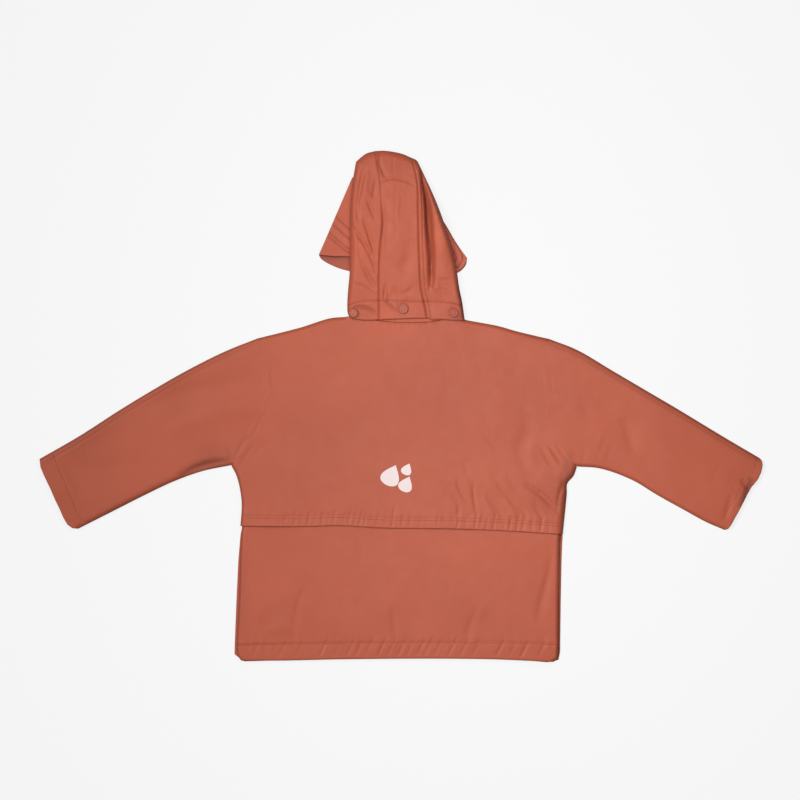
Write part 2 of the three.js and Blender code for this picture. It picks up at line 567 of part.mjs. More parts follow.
function hoodPanel(name, leftRows, rightRows, columns) {
  const shifted = (rows, shift) => curveThrough(rows.map(({ x, y }) => ({ x: x + shift, y })));
  const leftShift = name === 'left' ? 0 : gap / 2;
  const rightShift = name === 'right' ? 0 : -gap / 2;
  const ends = (rows) => {
    const moved = rows.map((row) => ({ ...row }));
    moved[0].x += leftShift;
    moved.at(-1).x += rightShift;
    return curveThrough(moved);
  };
  const area = patch({
    left: shifted(leftRows, leftShift),
    right: shifted(rightRows, rightShift),
    foot: ends(hoodFoot[name]),
    top: ends(crownEdges[name]),
  });
  const footBand = hemDepth.hoodFoot / 205;
  const alongSteps = stepsAcross(205, 24, [hemDepth.hoodFoot - hemStep, hemDepth.hoodFoot], [1, 3, 6.5, 11]);
  const rows = alongSteps.map((along) => columns.map((across) => {
    const { x, y } = area(across, along);
    const { height, stands } = hoodHeight(x, y, isEnd(across, along));
    const raise = along < footBand && !stands ? hemRaise : 0;
    const seam = (across === 0 && name !== 'left') || (across === 1 && name !== 'right');
    return { place: new THREE.Vector3(x, y, height), raise, stands, floor: bandTop(y) + bandGap, seam };
  }));
  return clothWall(rows, wall);
}

// The hood's front band goes round the face opening, under the hood and over the peak.
function hoodFront() {
  const outerLine = curveThrough([
    ...hoodEdges.left, ...crownEdges.left.slice(1), ...crownEdges.centre.slice(1), ...crownEdges.right.slice(1),
    ...[...hoodEdges.right].reverse().slice(1),
  ]);
  const innerLine = curveThrough(faceOpening);
  const around = 64;
  const across = [0, 0.1, 0.24, 0.5, 1];
  const rows = Array.from({ length: around + 1 }, (_, j) => {
    const outer = outerLine.getPointAt(j / around);
    const inner = innerLine.getPointAt(j / around);
    return across.map((share) => {
      const { x, y } = outer.clone().lerp(inner, share);
      return { place: new THREE.Vector3(x, y, bandTop(y)) };
    });
  });
  return clothWall(rows, wall);
}

// The stiffened peak: an upper and an under ply, open at the left along the free edge.
function peakPlyWall(edge, top) {
  const area = patch({
    left: curveThrough(peakOutline.left),
    right: curveThrough(peakOutline.right),
    foot: curveThrough(edge),
    top: curveThrough(peakOutline.top),
  });
  const rows = stepsAcross(110, 6, [4], []).map((along) => stepsAcross(185, 14, [], []).map((across) => {
    const { x, y } = area(across, along);
    return { place: new THREE.Vector3(x, y, top(x, y)) };
  }));
  return clothWall(rows, peakPly);
}

// Stand collar: a flattened ring inside the foot of the hood, its front reaching down to the neckline.
function collar() {
  const backNeck = curveThrough(neckline);
  const [leftEnd, rightEnd] = [neckline[0].x + collarInset, neckline.at(-1).x - collarInset];
  const half = [0, 0.012, 0.04, 0.1, 0.25, 0.4, 0.55, 0.7, 0.85, 0.93, 0.97, 0.99, 1];
  const base = wall + gap;
  const roll = 2.7;
  const rise = 5.4;
  const pointAt = (share, along, isBack) => {
    const seam = backNeck.getPointAt(THREE.MathUtils.lerp(0.04, 0.96, share));
    seam.x = THREE.MathUtils.lerp(leftEnd, rightEnd, share);
    const drop = isBack ? 0 : frontNeckDrop * Math.sin(Math.PI * share) ** 0.8;
    const foot = seam.y + gap - drop;
    const y = THREE.MathUtils.lerp(foot, seam.y + collarHeight, along);
    const round = quarter(Math.min(seam.x - leftEnd, rightEnd - seam.x) / roll);
    return { place: new THREE.Vector3(seam.x, y, base + rise / 2 + (isBack ? 1 : -1) * (rise / 2) * round) };
  };
  const rows = [0, 0.5, 1].map((along) => [
    ...half.map((share) => pointAt(share, along, true)),
    ...half.slice(1, -1).reverse().map((share) => pointAt(share, along, false)),
  ]);
  return clothWall(rows, collarWall, true);
}

// Press-stud caps: a domed disc with a raised rim, set on the hood's foot.
function studCap() {
  const profile = [
    [0, 0], [studRadius - 0.6, 0], [studRadius, 0.5], [studRadius, 1.2], [studRadius - 0.6, studHeight],
    [studRadius - 1.8, studHeight], [studRadius - 2.3, studHeight - 0.5], [0, studHeight - 0.4],
  ].map(([radius, height]) => new THREE.Vector2(radius, height));
  const cap = new THREE.LatheGeometry(profile, 24);
  cap.deleteAttribute('normal');
  cap.deleteAttribute('uv');
  cap.rotateX(Math.PI / 2);
  return mergeVertices(cap);
}

add('front_left', frontPanel('left'));
add('front_right', frontPanel('right'));
add('front_placket', frontPlacket());
add('back_lower', lowerBack());
add('back_upper', upperBack());
add('sleeve_left', sleeve('left'));
add('sleeve_right', sleeve('right'));
add('collar', collar());
add('hood_side_left', hoodPanel('left', hoodEdges.left, hoodEdges.leftSeam, stepsAcross(37, 6, [1, 3, 6], [2])));
add('hood_centre', hoodPanel('centre', hoodEdges.leftSeam, hoodEdges.rightSeam, stepsAcross(46, 6, [2], [2])));
add('hood_side_right', hoodPanel('right', hoodEdges.rightSeam, hoodEdges.right, stepsAcross(40, 6, [2], [1, 3, 6])));
add('hood_front', hoodFront());
add('hood_peak_under', peakPlyWall(peakOutline.underEdge, () => peakPly));
add('hood_peak_top', peakPlyWall(
  peakOutline.upperEdge,
  (x, y) => 2 * peakPly + gap + foldHeight([peakMouth], x, y),
));
// A leaning cap is lifted until all of its foot is clear of the cloth under it.
function studSeat(x, y, lean) {
  const around = Array.from({ length: 16 }, (_, i) => (i / 16) * 2 * Math.PI);
  const clear = around.map((angle) => {
    const dx = studRadius * Math.cos(angle);
    return hoodHeight(x + dx, y + studRadius * Math.sin(angle)).height + Math.tan(lean) * dx;
  });
  return Math.max(...clear, hoodHeight(x, y).height) + hemRaise + gap;
}
for (const { name, x, y, lean } of studs) {
  const cap = add(name, studCap(), materials.stud);
  cap.position.set(x, y, studSeat(x, y, lean));
  cap.rotation.y = lean;
}

export default jacket;
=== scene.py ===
# Child's rain jacket laid flat on its front. Sizes are in millimetres, and the scene is in metres.
import math

import bmesh
import bpy
import numpy as np
from mathutils import Matrix, Vector, noise
from mathutils.bvhtree import BVHTree


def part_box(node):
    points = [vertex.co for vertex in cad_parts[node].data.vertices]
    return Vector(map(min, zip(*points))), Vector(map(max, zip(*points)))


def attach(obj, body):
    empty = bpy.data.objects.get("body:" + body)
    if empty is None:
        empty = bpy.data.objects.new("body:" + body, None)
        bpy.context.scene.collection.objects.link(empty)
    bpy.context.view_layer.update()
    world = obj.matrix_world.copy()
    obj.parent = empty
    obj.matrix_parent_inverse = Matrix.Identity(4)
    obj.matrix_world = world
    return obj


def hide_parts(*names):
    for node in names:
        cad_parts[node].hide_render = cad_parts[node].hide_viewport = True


mm = 0.001
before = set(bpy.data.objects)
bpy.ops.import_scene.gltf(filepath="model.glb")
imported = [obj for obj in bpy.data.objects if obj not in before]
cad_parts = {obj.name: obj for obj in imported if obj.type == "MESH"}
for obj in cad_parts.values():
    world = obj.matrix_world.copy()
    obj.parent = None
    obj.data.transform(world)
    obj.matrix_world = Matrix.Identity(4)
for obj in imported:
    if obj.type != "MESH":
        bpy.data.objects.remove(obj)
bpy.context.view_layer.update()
print("frame loaded with", len(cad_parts), "nodes")

picture = {"middle": (401, 406.5), "pixel": 1.25}  # the pixel above the origin, and what one pixel measures


# Places that are given as pixels of the picture, in millimetres on the surface.
def spots(*pixels):
    (middleX, middleY), size = picture["middle"], picture["pixel"]
    return [((x - middleX) * size, (middleY - y) * size) for x, y in pixels]


# Lines and surfaces


# A smooth line through the points, cut into even steps.
def smoothLine(points, steps=60):
    p = np.array(points, float)
    p = np.vstack([2 * p[0] - p[1], p, 2 * p[-1] - p[-2]])
    pieces = []
    for a, b, c, d in zip(p, p[1:], p[2:], p[3:]):
        before, here, after = (max(np.hypot(*step), 1e-6) ** 0.5 for step in (b - a, c - b, d - c))
        slopeIn = ((b - a) / before - (c - a) / (before + here) + (c - b) / here) * here
        slopeOut = ((c - b) / here - (d - b) / (here + after) + (d - c) / after) * here
        t = np.linspace(0, 1, 25)[:-1, None]
        pieces.append(b + slopeIn * t + (3 * c - 3 * b - 2 * slopeIn - slopeOut) * t**2
                      + (2 * b - 2 * c + slopeIn + slopeOut) * t**3)
    return evenSteps(np.vstack(pieces + [p[-2][None]]), steps)


def evenSteps(line, steps):
    run = np.concatenate([[0], np.cumsum(np.hypot(*np.diff(line, axis=0).T))])
    even = np.linspace(0, run[-1], steps + 1)
    return np.column_stack([np.interp(even, run, line[:, 0]), np.interp(even, run, line[:, 1])])


def lengthOf(line):
    return np.hypot(*np.diff(line, axis=0).T).sum()


def onLine(line, share):
    at = np.linspace(0, 1, len(line))
    return np.column_stack([np.interp(share, at, line[:, 0]), np.interp(share, at, line[:, 1])])


# Blends four edge lines into a surface: u runs from left to right, v from foot to top.
def patchPoints(edges, u, v):
    left, right, foot, top = edges
    across, along = u[:, None], v[:, None]
    p = onLine(foot, u) * (1 - along) + onLine(top, u) * along
    p += onLine(left, v) * (1 - across) + onLine(right, v) * across
    p -= foot[0] * (1 - across) * (1 - along) + foot[-1] * across * (1 - along)
    p -= top[0] * (1 - across) * along + top[-1] * across * along
    return p[:, 0], p[:, 1]


# Distance to a line, the share of the line at its nearest point, and the side: 1 on its left, -1 on its
# right.
def nearestOn(line, x, y):
    distance = np.full(len(x), 1e9)
    share, side = np.zeros(len(x)), np.ones(len(x))
    steps = np.diff(line, axis=0)
    for k, (sx, sy) in enumerate(steps):
        ax, ay = line[k]
        t = np.clip(((x - ax) * sx + (y - ay) * sy) / (sx * sx + sy * sy), 0, 1)
        dx, dy = x - ax - t * sx, y - ay - t * sy
        d = np.hypot(dx, dy)
        closer = d < distance
        distance[closer] = d[closer]
        share[closer] = (k + t[closer]) / len(steps)
        side[closer] = np.where(sx * dy - sy * dx >= 0, 1, -1)[closer]
    return distance, share, side


def distanceTo(lines, x, y):
    return np.min([nearestOn(line, x, y)[0] for line in lines], axis=0)


# Reads a smooth curve through a table of pairs.
def readOff(table, value):
    line = smoothLine(table, 90)
    return np.interp(value, line[:, 0], line[:, 1])


def quarter(share):
    return np.sqrt(np.clip(1 - (1 - np.clip(share, 0, 1)) ** 2, 0, 1))


def smooth(value, start, end):
    t = np.clip((value - start) / (end - start), 0, 1)
    return t * t * (3 - 2 * t)


# A bump 1 high at a line, and the roundness of an edge: 1 at the edge, 0 from the reach inwards.
def bell(distance, width):
    return np.exp(-((distance / width) ** 2))


def edgeRound(distance, reach):
    return 1 - quarter(distance / reach)


# Ridges (height above 0) and troughs (below 0). Each fades at its ends; sharp narrows its left side.
def foldField(folds, x, y):
    total = np.zeros(len(x))
    for points, height, width, sharp in folds:
        distance, share, side = nearestOn(smoothLine(points, 14), x, y)
        reach = np.where(side > 0, width * sharp, width)
        total += height * bell(distance, reach) * np.sin(math.pi * share) ** 0.5
    return total


# A narrow groove along the whole of a line, as deep and wide as stated.
def grooveField(line, depth, width, x, y):
    return -depth * bell(nearestOn(line, x, y)[0], width)


def noiseField(x, y, size, seed):
    return np.array([noise.fractal(Vector((a, b, seed)), 0.7, 2.0, 2) for a, b in zip(x / size, y / size)])


# Short creases across a stitched line: each has its place along the line, its depth and how far it runs up.
def puckers(line, table, width, down, slant, x, y):
    distance, share, side = nearestOn(line, x, y)
    run, rise = share * lengthOf(line), distance * side
    total = np.zeros(len(x))
    for place, depth, up in table:
        across = run - place - slant * rise
        fade = smooth(rise, -down - 2, 1 - down) * (1 - smooth(rise, up * 0.4, up))
        total += depth * (0.06 * bell(across - 1.8 * width, width) - bell(across, width)) * fade
    return total


# The uneven waves of cloth that is gathered a little along a line.
def gathers(line, spacing, height, reach, seed, x, y):
    distance, share, side = nearestOn(line, x, y)
    places = zip(share * lengthOf(line) / spacing, side * distance / (6 * spacing))
    wave = np.array([noise.noise(Vector((a, b, seed))) for a, b in places])
    return height * wave * bell(distance, reach)


# Shares of a width: fine steps from each list of distances, then even ones about the spacing apart.
def gridSteps(width, spacing, starts=(), ends=()):
    first = starts[-1] if starts else 0
    last = width - (ends[-1] if ends else 0)
    count = max(2, round((last - first) / spacing))
    middle = [first + (last - first) * i / count for i in range(count + 1)]
    return np.unique(np.round(np.array([0, *starts, *middle, *(width - e for e in ends), width]) / width, 7))


rollSteps = [0.12, 0.45, 1.0, 1.8, 2.7, 3.8, 5.0, 6.4]  # in from a folded edge
edgeSteps = [0.15, 0.5, 1.0, 1.6]  # in from a cut edge


# Cloth pieces
surfaces = {}  # what the stitches and the print are laid on


# A sheet made from a grid: place gives x, y and z for the shares across and along. Tubes close across.
def clothSheet(name, across, along, place, thickness, material, node, tube=False):
    bm = bmesh.new()
    bm.loops.layers.uv.new("clothUv")
    paintedLightShadeLayer = bm.verts.layers.float.new("tone")
    bmesh.ops.create_grid(bm, x_segments=len(across) - 1, y_segments=len(along) - 1, size=0.5, calc_uvs=True)
    bm.verts.ensure_lookup_table()
    grid = np.array([v.co[:2] for v in bm.verts])
    grid = (grid - grid.min(0)) / (grid.max(0) - grid.min(0))
    column = np.rint(grid[:, 0] * (len(across) - 1)).astype(int)
    row = np.rint(grid[:, 1] * (len(along) - 1)).astype(int)
    x, y, z = place(across[column], along[row])
    # each vertex keeps its painted light and shade in the tone attribute
    for vertex, point, tone in zip(bm.verts, np.column_stack([x, y, z]) * mm, paintedLightShadeAt(name, x, y)):
        vertex.co = point
        vertex[paintedLightShadeLayer] = tone
    if tube:
        bmesh.ops.remove_doubles(bm, verts=bm.verts, dist=0.02 * mm)
    bm.normal_update()
    middle = (z.min() + z.max()) / 2 * mm if tube else -1
    if sum(f.normal.z * f.calc_area() * (f.calc_center_median().z - middle) for f in bm.faces) < 0:
        bmesh.ops.reverse_faces(bm, faces=bm.faces)
        bm.normal_update()
    surfaces[name] = BVHTree.FromBMesh(bm)
    piece = pieceFrom(bm, name, material)
    wall = piece.modifiers.new("wall", "SOLIDIFY")
    wall.thickness = thickness * mm
    wall.offset = -1
    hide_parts(node)
    return piece


def pieceFrom(bm, name, material):
    mesh = bpy.data.meshes.new(name)
    bm.to_mesh(mesh)
    bm.free()
    piece = bpy.data.objects.new(name, mesh)
    bpy.context.collection.objects.link(piece)
    mesh.materials.append(material)
    if material is not printPale:
        mesh.shade_smooth()
    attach(piece, "root")
    return piece


# Materials


def nodeIn(tree, kind, **inputs):
    node = tree.nodes.new(kind)
    for name, value in inputs.items():
        node.inputs[name].default_value = value
    return node


coatedCloth = {
    "colour": (0.478, 0.0965, 0.0465),
    "mottleSize": 70, "mottle": 0.035,  # soft change of tone over the cloth, in mm and as a share
    "fleckSize": 1.1, "fleck": 0.035,
    "grainSize": 0.55, "grainDepth": 0.035,
    "waveSize": 5.0, "waveDepth": 0.10,  # faint unevenness of the coated face
    "roughness": 0.56, "roughnessSpread": 0.07,
    "sheen": 0.04, "sheenRoughness": 0.5, "specular": 0.38,
}


def clothMaterial(name, look):
    material = bpy.data.materials.new(name)
    material.use_nodes = True
    tree = material.node_tree
    shader = tree.nodes["Principled BSDF"]
    shader.inputs["Specular IOR Level"].default_value = look["specular"]
    shader.inputs["Sheen Weight"].default_value = look["sheen"]
    shader.inputs["Sheen Roughness"].default_value = look["sheenRoughness"]
    place = tree.nodes.new("ShaderNodeTexCoord").outputs["Object"]

    def grain(size, detail=2.0):
        noiseNode = nodeIn(tree, "ShaderNodeTexNoise", Scale=1 / (size * mm), Detail=detail, Roughness=0.55)
        tree.links.new(place, noiseNode.inputs["Vector"])
        return noiseNode.outputs["Fac"]

    def scaled(factor, low, high):
        spread = nodeIn(tree, "ShaderNodeMapRange")
        for socket, value in zip(spread.inputs[1:5], (0.25, 0.75, low, high)):
            socket.default_value = value
        tree.links.new(factor, spread.inputs[0])
        return spread.outputs[0]

    tone = tree.nodes.new("ShaderNodeMath")
    tone.operation = "MULTIPLY"
    tree.links.new(scaled(grain(look["mottleSize"]), 1 - look["mottle"], 1 + look["mottle"]), tone.inputs[0])
    tree.links.new(scaled(grain(look["fleckSize"]), 1 - look["fleck"], 1 + look["fleck"]), tone.inputs[1])
    # the tone attribute holds painted light and shade, which scales the base colour
    placed = tree.nodes.new("ShaderNodeAttribute")
    placed.attribute_name = "tone"
    share = nodeIn(tree, "ShaderNodeMath")
    share.operation = "ADD"
    tree.links.new(placed.outputs["Fac"], share.inputs[0])
    share.inputs[1].default_value = 1
    whole = nodeIn(tree, "ShaderNodeMath")
    whole.operation = "MULTIPLY"
    tree.links.new(tone.outputs[0], whole.inputs[0])
    tree.links.new(share.outputs[0], whole.inputs[1])
    colour = nodeIn(tree, "ShaderNodeVectorMath")
    colour.operation = "SCALE"
    colour.inputs[0].default_value = look["colour"]
    tree.links.new(whole.outputs[0], colour.inputs["Scale"])
    tree.links.new(colour.outputs[0], shader.inputs["Base Color"])
    rough, spreadOf = look["roughness"], look["roughnessSpread"]
    uneven = scaled(grain(look["waveSize"] * 3), rough - spreadOf, rough + spreadOf)
    tree.links.new(uneven, shader.inputs["Roughness"])
    fine = nodeIn(tree, "ShaderNodeBump", Strength=1.0, Distance=look["grainDepth"] * mm)
    wide = nodeIn(tree, "ShaderNodeBump", Strength=1.0, Distance=look["waveDepth"] * mm)
    tree.links.new(grain(look["grainSize"], 3.0), fine.inputs["Height"])
    tree.links.new(grain(look["waveSize"]), wide.inputs["Height"])
    tree.links.new(wide.outputs[0], fine.inputs["Normal"])
    tree.links.new(fine.outputs[0], shader.inputs["Normal"])
    return material


threadLook = {**coatedCloth, "colour": (0.20, 0.036, 0.018), "roughness": 0.8, "specular": 0.15,
              "sheen": 0.0, "grainSize": 0.25, "grainDepth": 0.03}
studLook = {**coatedCloth, "colour": (0.41, 0.083, 0.042), "roughness": 0.5, "roughnessSpread": 0.04,
            "specular": 0.5, "sheen": 0.0, "fleck": 0.015, "grainDepth": 0.006, "waveDepth": 0.02}
printLook = {**coatedCloth, "colour": (0.83, 0.70, 0.68), "roughness": 0.6, "mottle": 0.012, "fleck": 0.012,
             "grainDepth": 0.02}
clothCoated = clothMaterial("clothCoated", coatedCloth)
threadDyed = clothMaterial("threadDyed", threadLook)
studSatin = clothMaterial("studSatin", studLook)
printPale = clothMaterial("printPale", printLook)
print("materials made")

# Camera, light and floor
studio = {
    "centre": (-1.25, 8.1), "distance": 3600, "viewWidth": 1000,
    "sunFrom": (-0.66, 0.26, 0.95), "sunSoftness": 16, "sunPower": 1.70,  # raking, from the upper left
    "boxPlace": (84, 66, 660), "boxSize": (450, 900), "boxPower": 3.38,  # soft box overhead
    "skyStrength": 0.10, "skyColour": (1.0, 1.0, 1.0),
    "floorColour": (0.12, 0.12, 0.12), "floorGlow": 0.82, "floorBounce": 0.12,  # seen, and lighting
}
camera = bpy.data.objects.new("camera", bpy.data.cameras.new("camera"))
camera.location = (studio["centre"][0] * mm, studio["centre"][1] * mm, studio["distance"] * mm)
camera.data.sensor_width = 36
camera.data.lens = 36 * studio["distance"] / studio["viewWidth"]
camera.data.clip_end = 50
bpy.context.collection.objects.link(camera)
bpy.context.scene.camera = camera


def lightFrom(name, kind, place, aim, power):
    lamp = bpy.data.lights.new(name, kind)
    lamp.energy = power
    light = bpy.data.objects.new(name, lamp)
    light.location = place
    light.rotation_euler = (Vector(aim) - Vector(place)).to_track_quat("-Z", "Y").to_euler()
    bpy.context.collection.objects.link(light)
    return lamp


sun = lightFrom("rakingLight", "SUN", studio["sunFrom"], (0, 0, 0), studio["sunPower"])
sun.angle = math.radians(studio["sunSoftness"])
boxPlace = Vector(studio["boxPlace"]) * mm
box = lightFrom("softBox", "AREA", boxPlace, (boxPlace.x, boxPlace.y, 0), studio["boxPower"])
box.shape = "RECTANGLE"
box.size, box.size_y = (size * mm for size in studio["boxSize"])
world = bpy.data.worlds.new("paleRoom")
world.use_nodes = True
world.node_tree.nodes["Background"].inputs["Color"].default_value = (*studio["skyColour"], 1)
world.node_tree.nodes["Background"].inputs["Strength"].default_value = studio["skyStrength"]
bpy.context.scene.world = world
bpy.context.scene.view_settings.view_transform = "Standard"

floorMesh = bmesh.new()
bmesh.ops.create_grid(floorMesh, x_segments=2, y_segments=2, size=8)
mesh = bpy.data.meshes.new("floor")
floorMesh.to_mesh(mesh)
floorMesh.free()
floor = bpy.data.objects.new("floor", mesh)
bpy.context.collection.objects.link(floor)
floorPaint = bpy.data.materials.new("floorPaint")
floorPaint.use_nodes = True
paint = floorPaint.node_tree.nodes["Principled BSDF"]
paint.inputs["Base Color"].default_value = (*studio["floorColour"], 1)
paint.inputs["Roughness"].default_value = 0.9
paint.inputs["Specular IOR Level"].default_value = 0.1
paint.inputs["Emission Color"].default_value = (1, 1, 1, 1)
seen = nodeIn(floorPaint.node_tree, "ShaderNodeMapRange")
for socket, value in zip(seen.inputs[1:5], (0, 1, studio["floorBounce"], studio["floorGlow"])):
    socket.default_value = value
lightPath = floorPaint.node_tree.nodes.new("ShaderNodeLightPath")
floorPaint.node_tree.links.new(lightPath.outputs["Is Camera Ray"], seen.inputs[0])
floorPaint.node_tree.links.new(seen.outputs[0], paint.inputs["Emission Strength"])
mesh.materials.append(floorPaint)
print("camera, lights and floor made")

# Outline of the jacket as it lies
wall = 1.9  # thickness of a sheet
frontTop = 2.0  # the fronts lie flat below this height
lowerTop = 7.2
upperTop = 7.8
flapTop = 9.5
edgeRoll = 6.0  # how far in from a folded edge the cloth is level again
shoulders = {
    "left": [(-70, 111.9), (-88.8, 110.2), (-123.8, 99.2), (-151.2, 92.0)],
    "right": [(81.2, 108.1), (121.2, 100.6), (143, 94.4), (161.2, 89.9)],
}
# Each row of a sleeve, from the armhole down: its over-arm edge, then its under-arm edge.
sleeveRows = {
    "left": [(-178.8, 85.2, -212.5, -73.4), (-218.8, 69.2, -247.5, -80.6), (-266.2, 45.6, -282.5, -93.0),
             (-310.0, 20.6, -320.0, -110.6), (-351.2, -4.4, -351.2, -126.4), (-401.2, -36.6, -380.0, -141.0)],
    "right": [(185.0, 84.4, 220.0, -75.0), (220.0, 70.6, 248.8, -77.5), (262.5, 45.6, 288.8, -91.9),
              (305.0, 20.6, 320.0, -110.6), (347.5, -4.4, 353.8, -129.4), (400.0, -36.2, 381.2, -144.4)],
}
# The ends of the cuff, how the rows bow towards the body and how far the cuff bulges past its ends.
cuffs = {
    "left": {"over": (-451.2, -65.4), "under": (-403.0, -152.6),
             "bow": [(0, 30), (0.14, 18), (0.31, 7), (0.47, 1), (1, 0)],
             "bulge": [(0, 0), (0.1, 3.9), (0.23, 5.3), (0.4, 6.2), (0.54, 7.7), (0.67, 8.4), (0.79, 9.6),
                       (0.89, 9.3), (0.96, 6.1), (1, 0)]},
    "right": {"over": (448.0, -64.5), "under": (404.0, -154.2),
              "bow": [(0, 24), (0.14, 14), (0.29, 5), (0.45, 0), (1, 0)],
              "bulge": [(0, 0), (0.02, 4.0), (0.07, 7.3), (0.16, 9.4), (0.25, 9.6), (0.37, 6.6), (0.47, 5.9),
                        (0.62, 5.8), (0.73, 5.4), (0.82, 4.9), (0.91, 4.6), (0.97, 3.2), (1, 0)]},
}
neckline = [(-63.8, 112.6), (-46, 112.2), (-37, 109.6), (-26, 107.0), (-11, 105.3), (4, 105.0), (19, 104.9),
            (36, 105.5), (49, 107.6), (58, 110.2), (73.8, 110.0)]
flapSides = {
    "left": [(-206.6, -84.0), (-201.9, -99.4), (-199.0, -121.2), (-200.6, -149.2)],
    "right": [(215.6, -86.9), (207.6, -96.4), (207.2, -108), (202.2, -159.4)],
}
flapHem = [(-200.6, -149.2), (-115.0, -149.6), (-78.0, -148.5), (-18.8, -151.6), (62.5, -152.5),
           (142.5, -155.6), (202.2, -159.4)]
frontSides = {
    "left": [(-200.6, -161.4), (-203.2, -191.9), (-205.6, -241.9), (-207.8, -298.1), (-208.0, -309.4),
             (-203.4, -318.6)],
    "right": [(201.4, -170.6), (200.6, -191.9), (199.6, -241.9), (198.8, -306.9), (196.6, -316.6),
              (190.8, -320.2)],
}
bottomEdge = [(-203.4, -318.6), (-140, -317.0), (-82.7, -315.6), (23.8, -314.7), (110.0, -315.4),
              (150, -316.9), (189.6, -320.2)]
lowerSides = {
    "left": [(-196.4, -104.2), (-196.9, -146), (-198.9, -157), (-202.2, -241.9), (-204.9, -304),
             (-203.9, -311), (-200.0, -317.2)],
    "right": [(201.5, -106), (200, -152), (198.6, -168), (197.3, -241.9), (196.9, -308), (195.9, -315.4),
              (190.4, -318.9)],
}


def armhole(side):
    overX, overY, underX, underY = sleeveRows[side][0]
    bow = cuffs[side]["bow"][0][1] * (1 if side == "left" else -1)
    share = np.linspace(0, 1, 25)
    return np.column_stack([underX + (overX - underX) * share + bow * np.sin(math.pi * share),
                            underY + (overY - underY) * share])


overLines, underLines, foldedEdges = {}, {}, {}
for side in ("left", "right"):
    over = [row[:2] for row in sleeveRows[side]] + [cuffs[side]["over"]]
    under = [row[2:] for row in sleeveRows[side]] + [cuffs[side]["under"]]
    overLines[side], underLines[side] = smoothLine(over, 90), smoothLine(under, 90)
    foldedEdges[side + "Over"] = smoothLine(shoulders[side] + over, 100)
    foldedEdges[side + "Under"] = underLines[side][::-1]
    foldedEdges[side + "Flap"] = smoothLine([under[0]] + flapSides[side], 30)


def fromFoldedEdge(x, y):
    return distanceTo(foldedEdges.values(), x, y)


# Rows of topstitching on the bottom hem, the hood's foot and the peak.
lowerHemLine = smoothLine([(-206, -297.6), (-82.7, -295.4), (23.8, -294.7), (110.0, -295.1),
                           (197, -297.4)], 80)
hoodBandLine = smoothLine(spots((347, 305.8), (356, 303), (366, 301.4), (380, 301.2), (400, 301.3),
                                (420, 302), (440, 302.2), (454, 303.6), (463.5, 306.4)), 60)
peakRows = [
    spots((334, 214), (338, 218.5), (350.5, 230), (366, 240)),
    spots((332, 223), (336, 227), (350.5, 240), (366, 250)),
    spots((329, 232.5), (333, 236), (350.5, 250), (366, 258)),
    spots((328, 236), (332, 239.5), (350.5, 253.5), (366, 261)),
    spots((440, 212), (452, 236), (461, 252), (463, 259), (459, 266), (444, 270)),
    spots((436, 220), (447, 240), (454, 253), (456, 259), (452, 263), (440, 264)),
]
peakRowLines = [smoothLine(row, 24) for row in peakRows]
peakMouth = smoothLine([(-102.6, 189.4), (-84, 187.6), (-64, 187.2)], 24)  # the upper ply's edge at the left

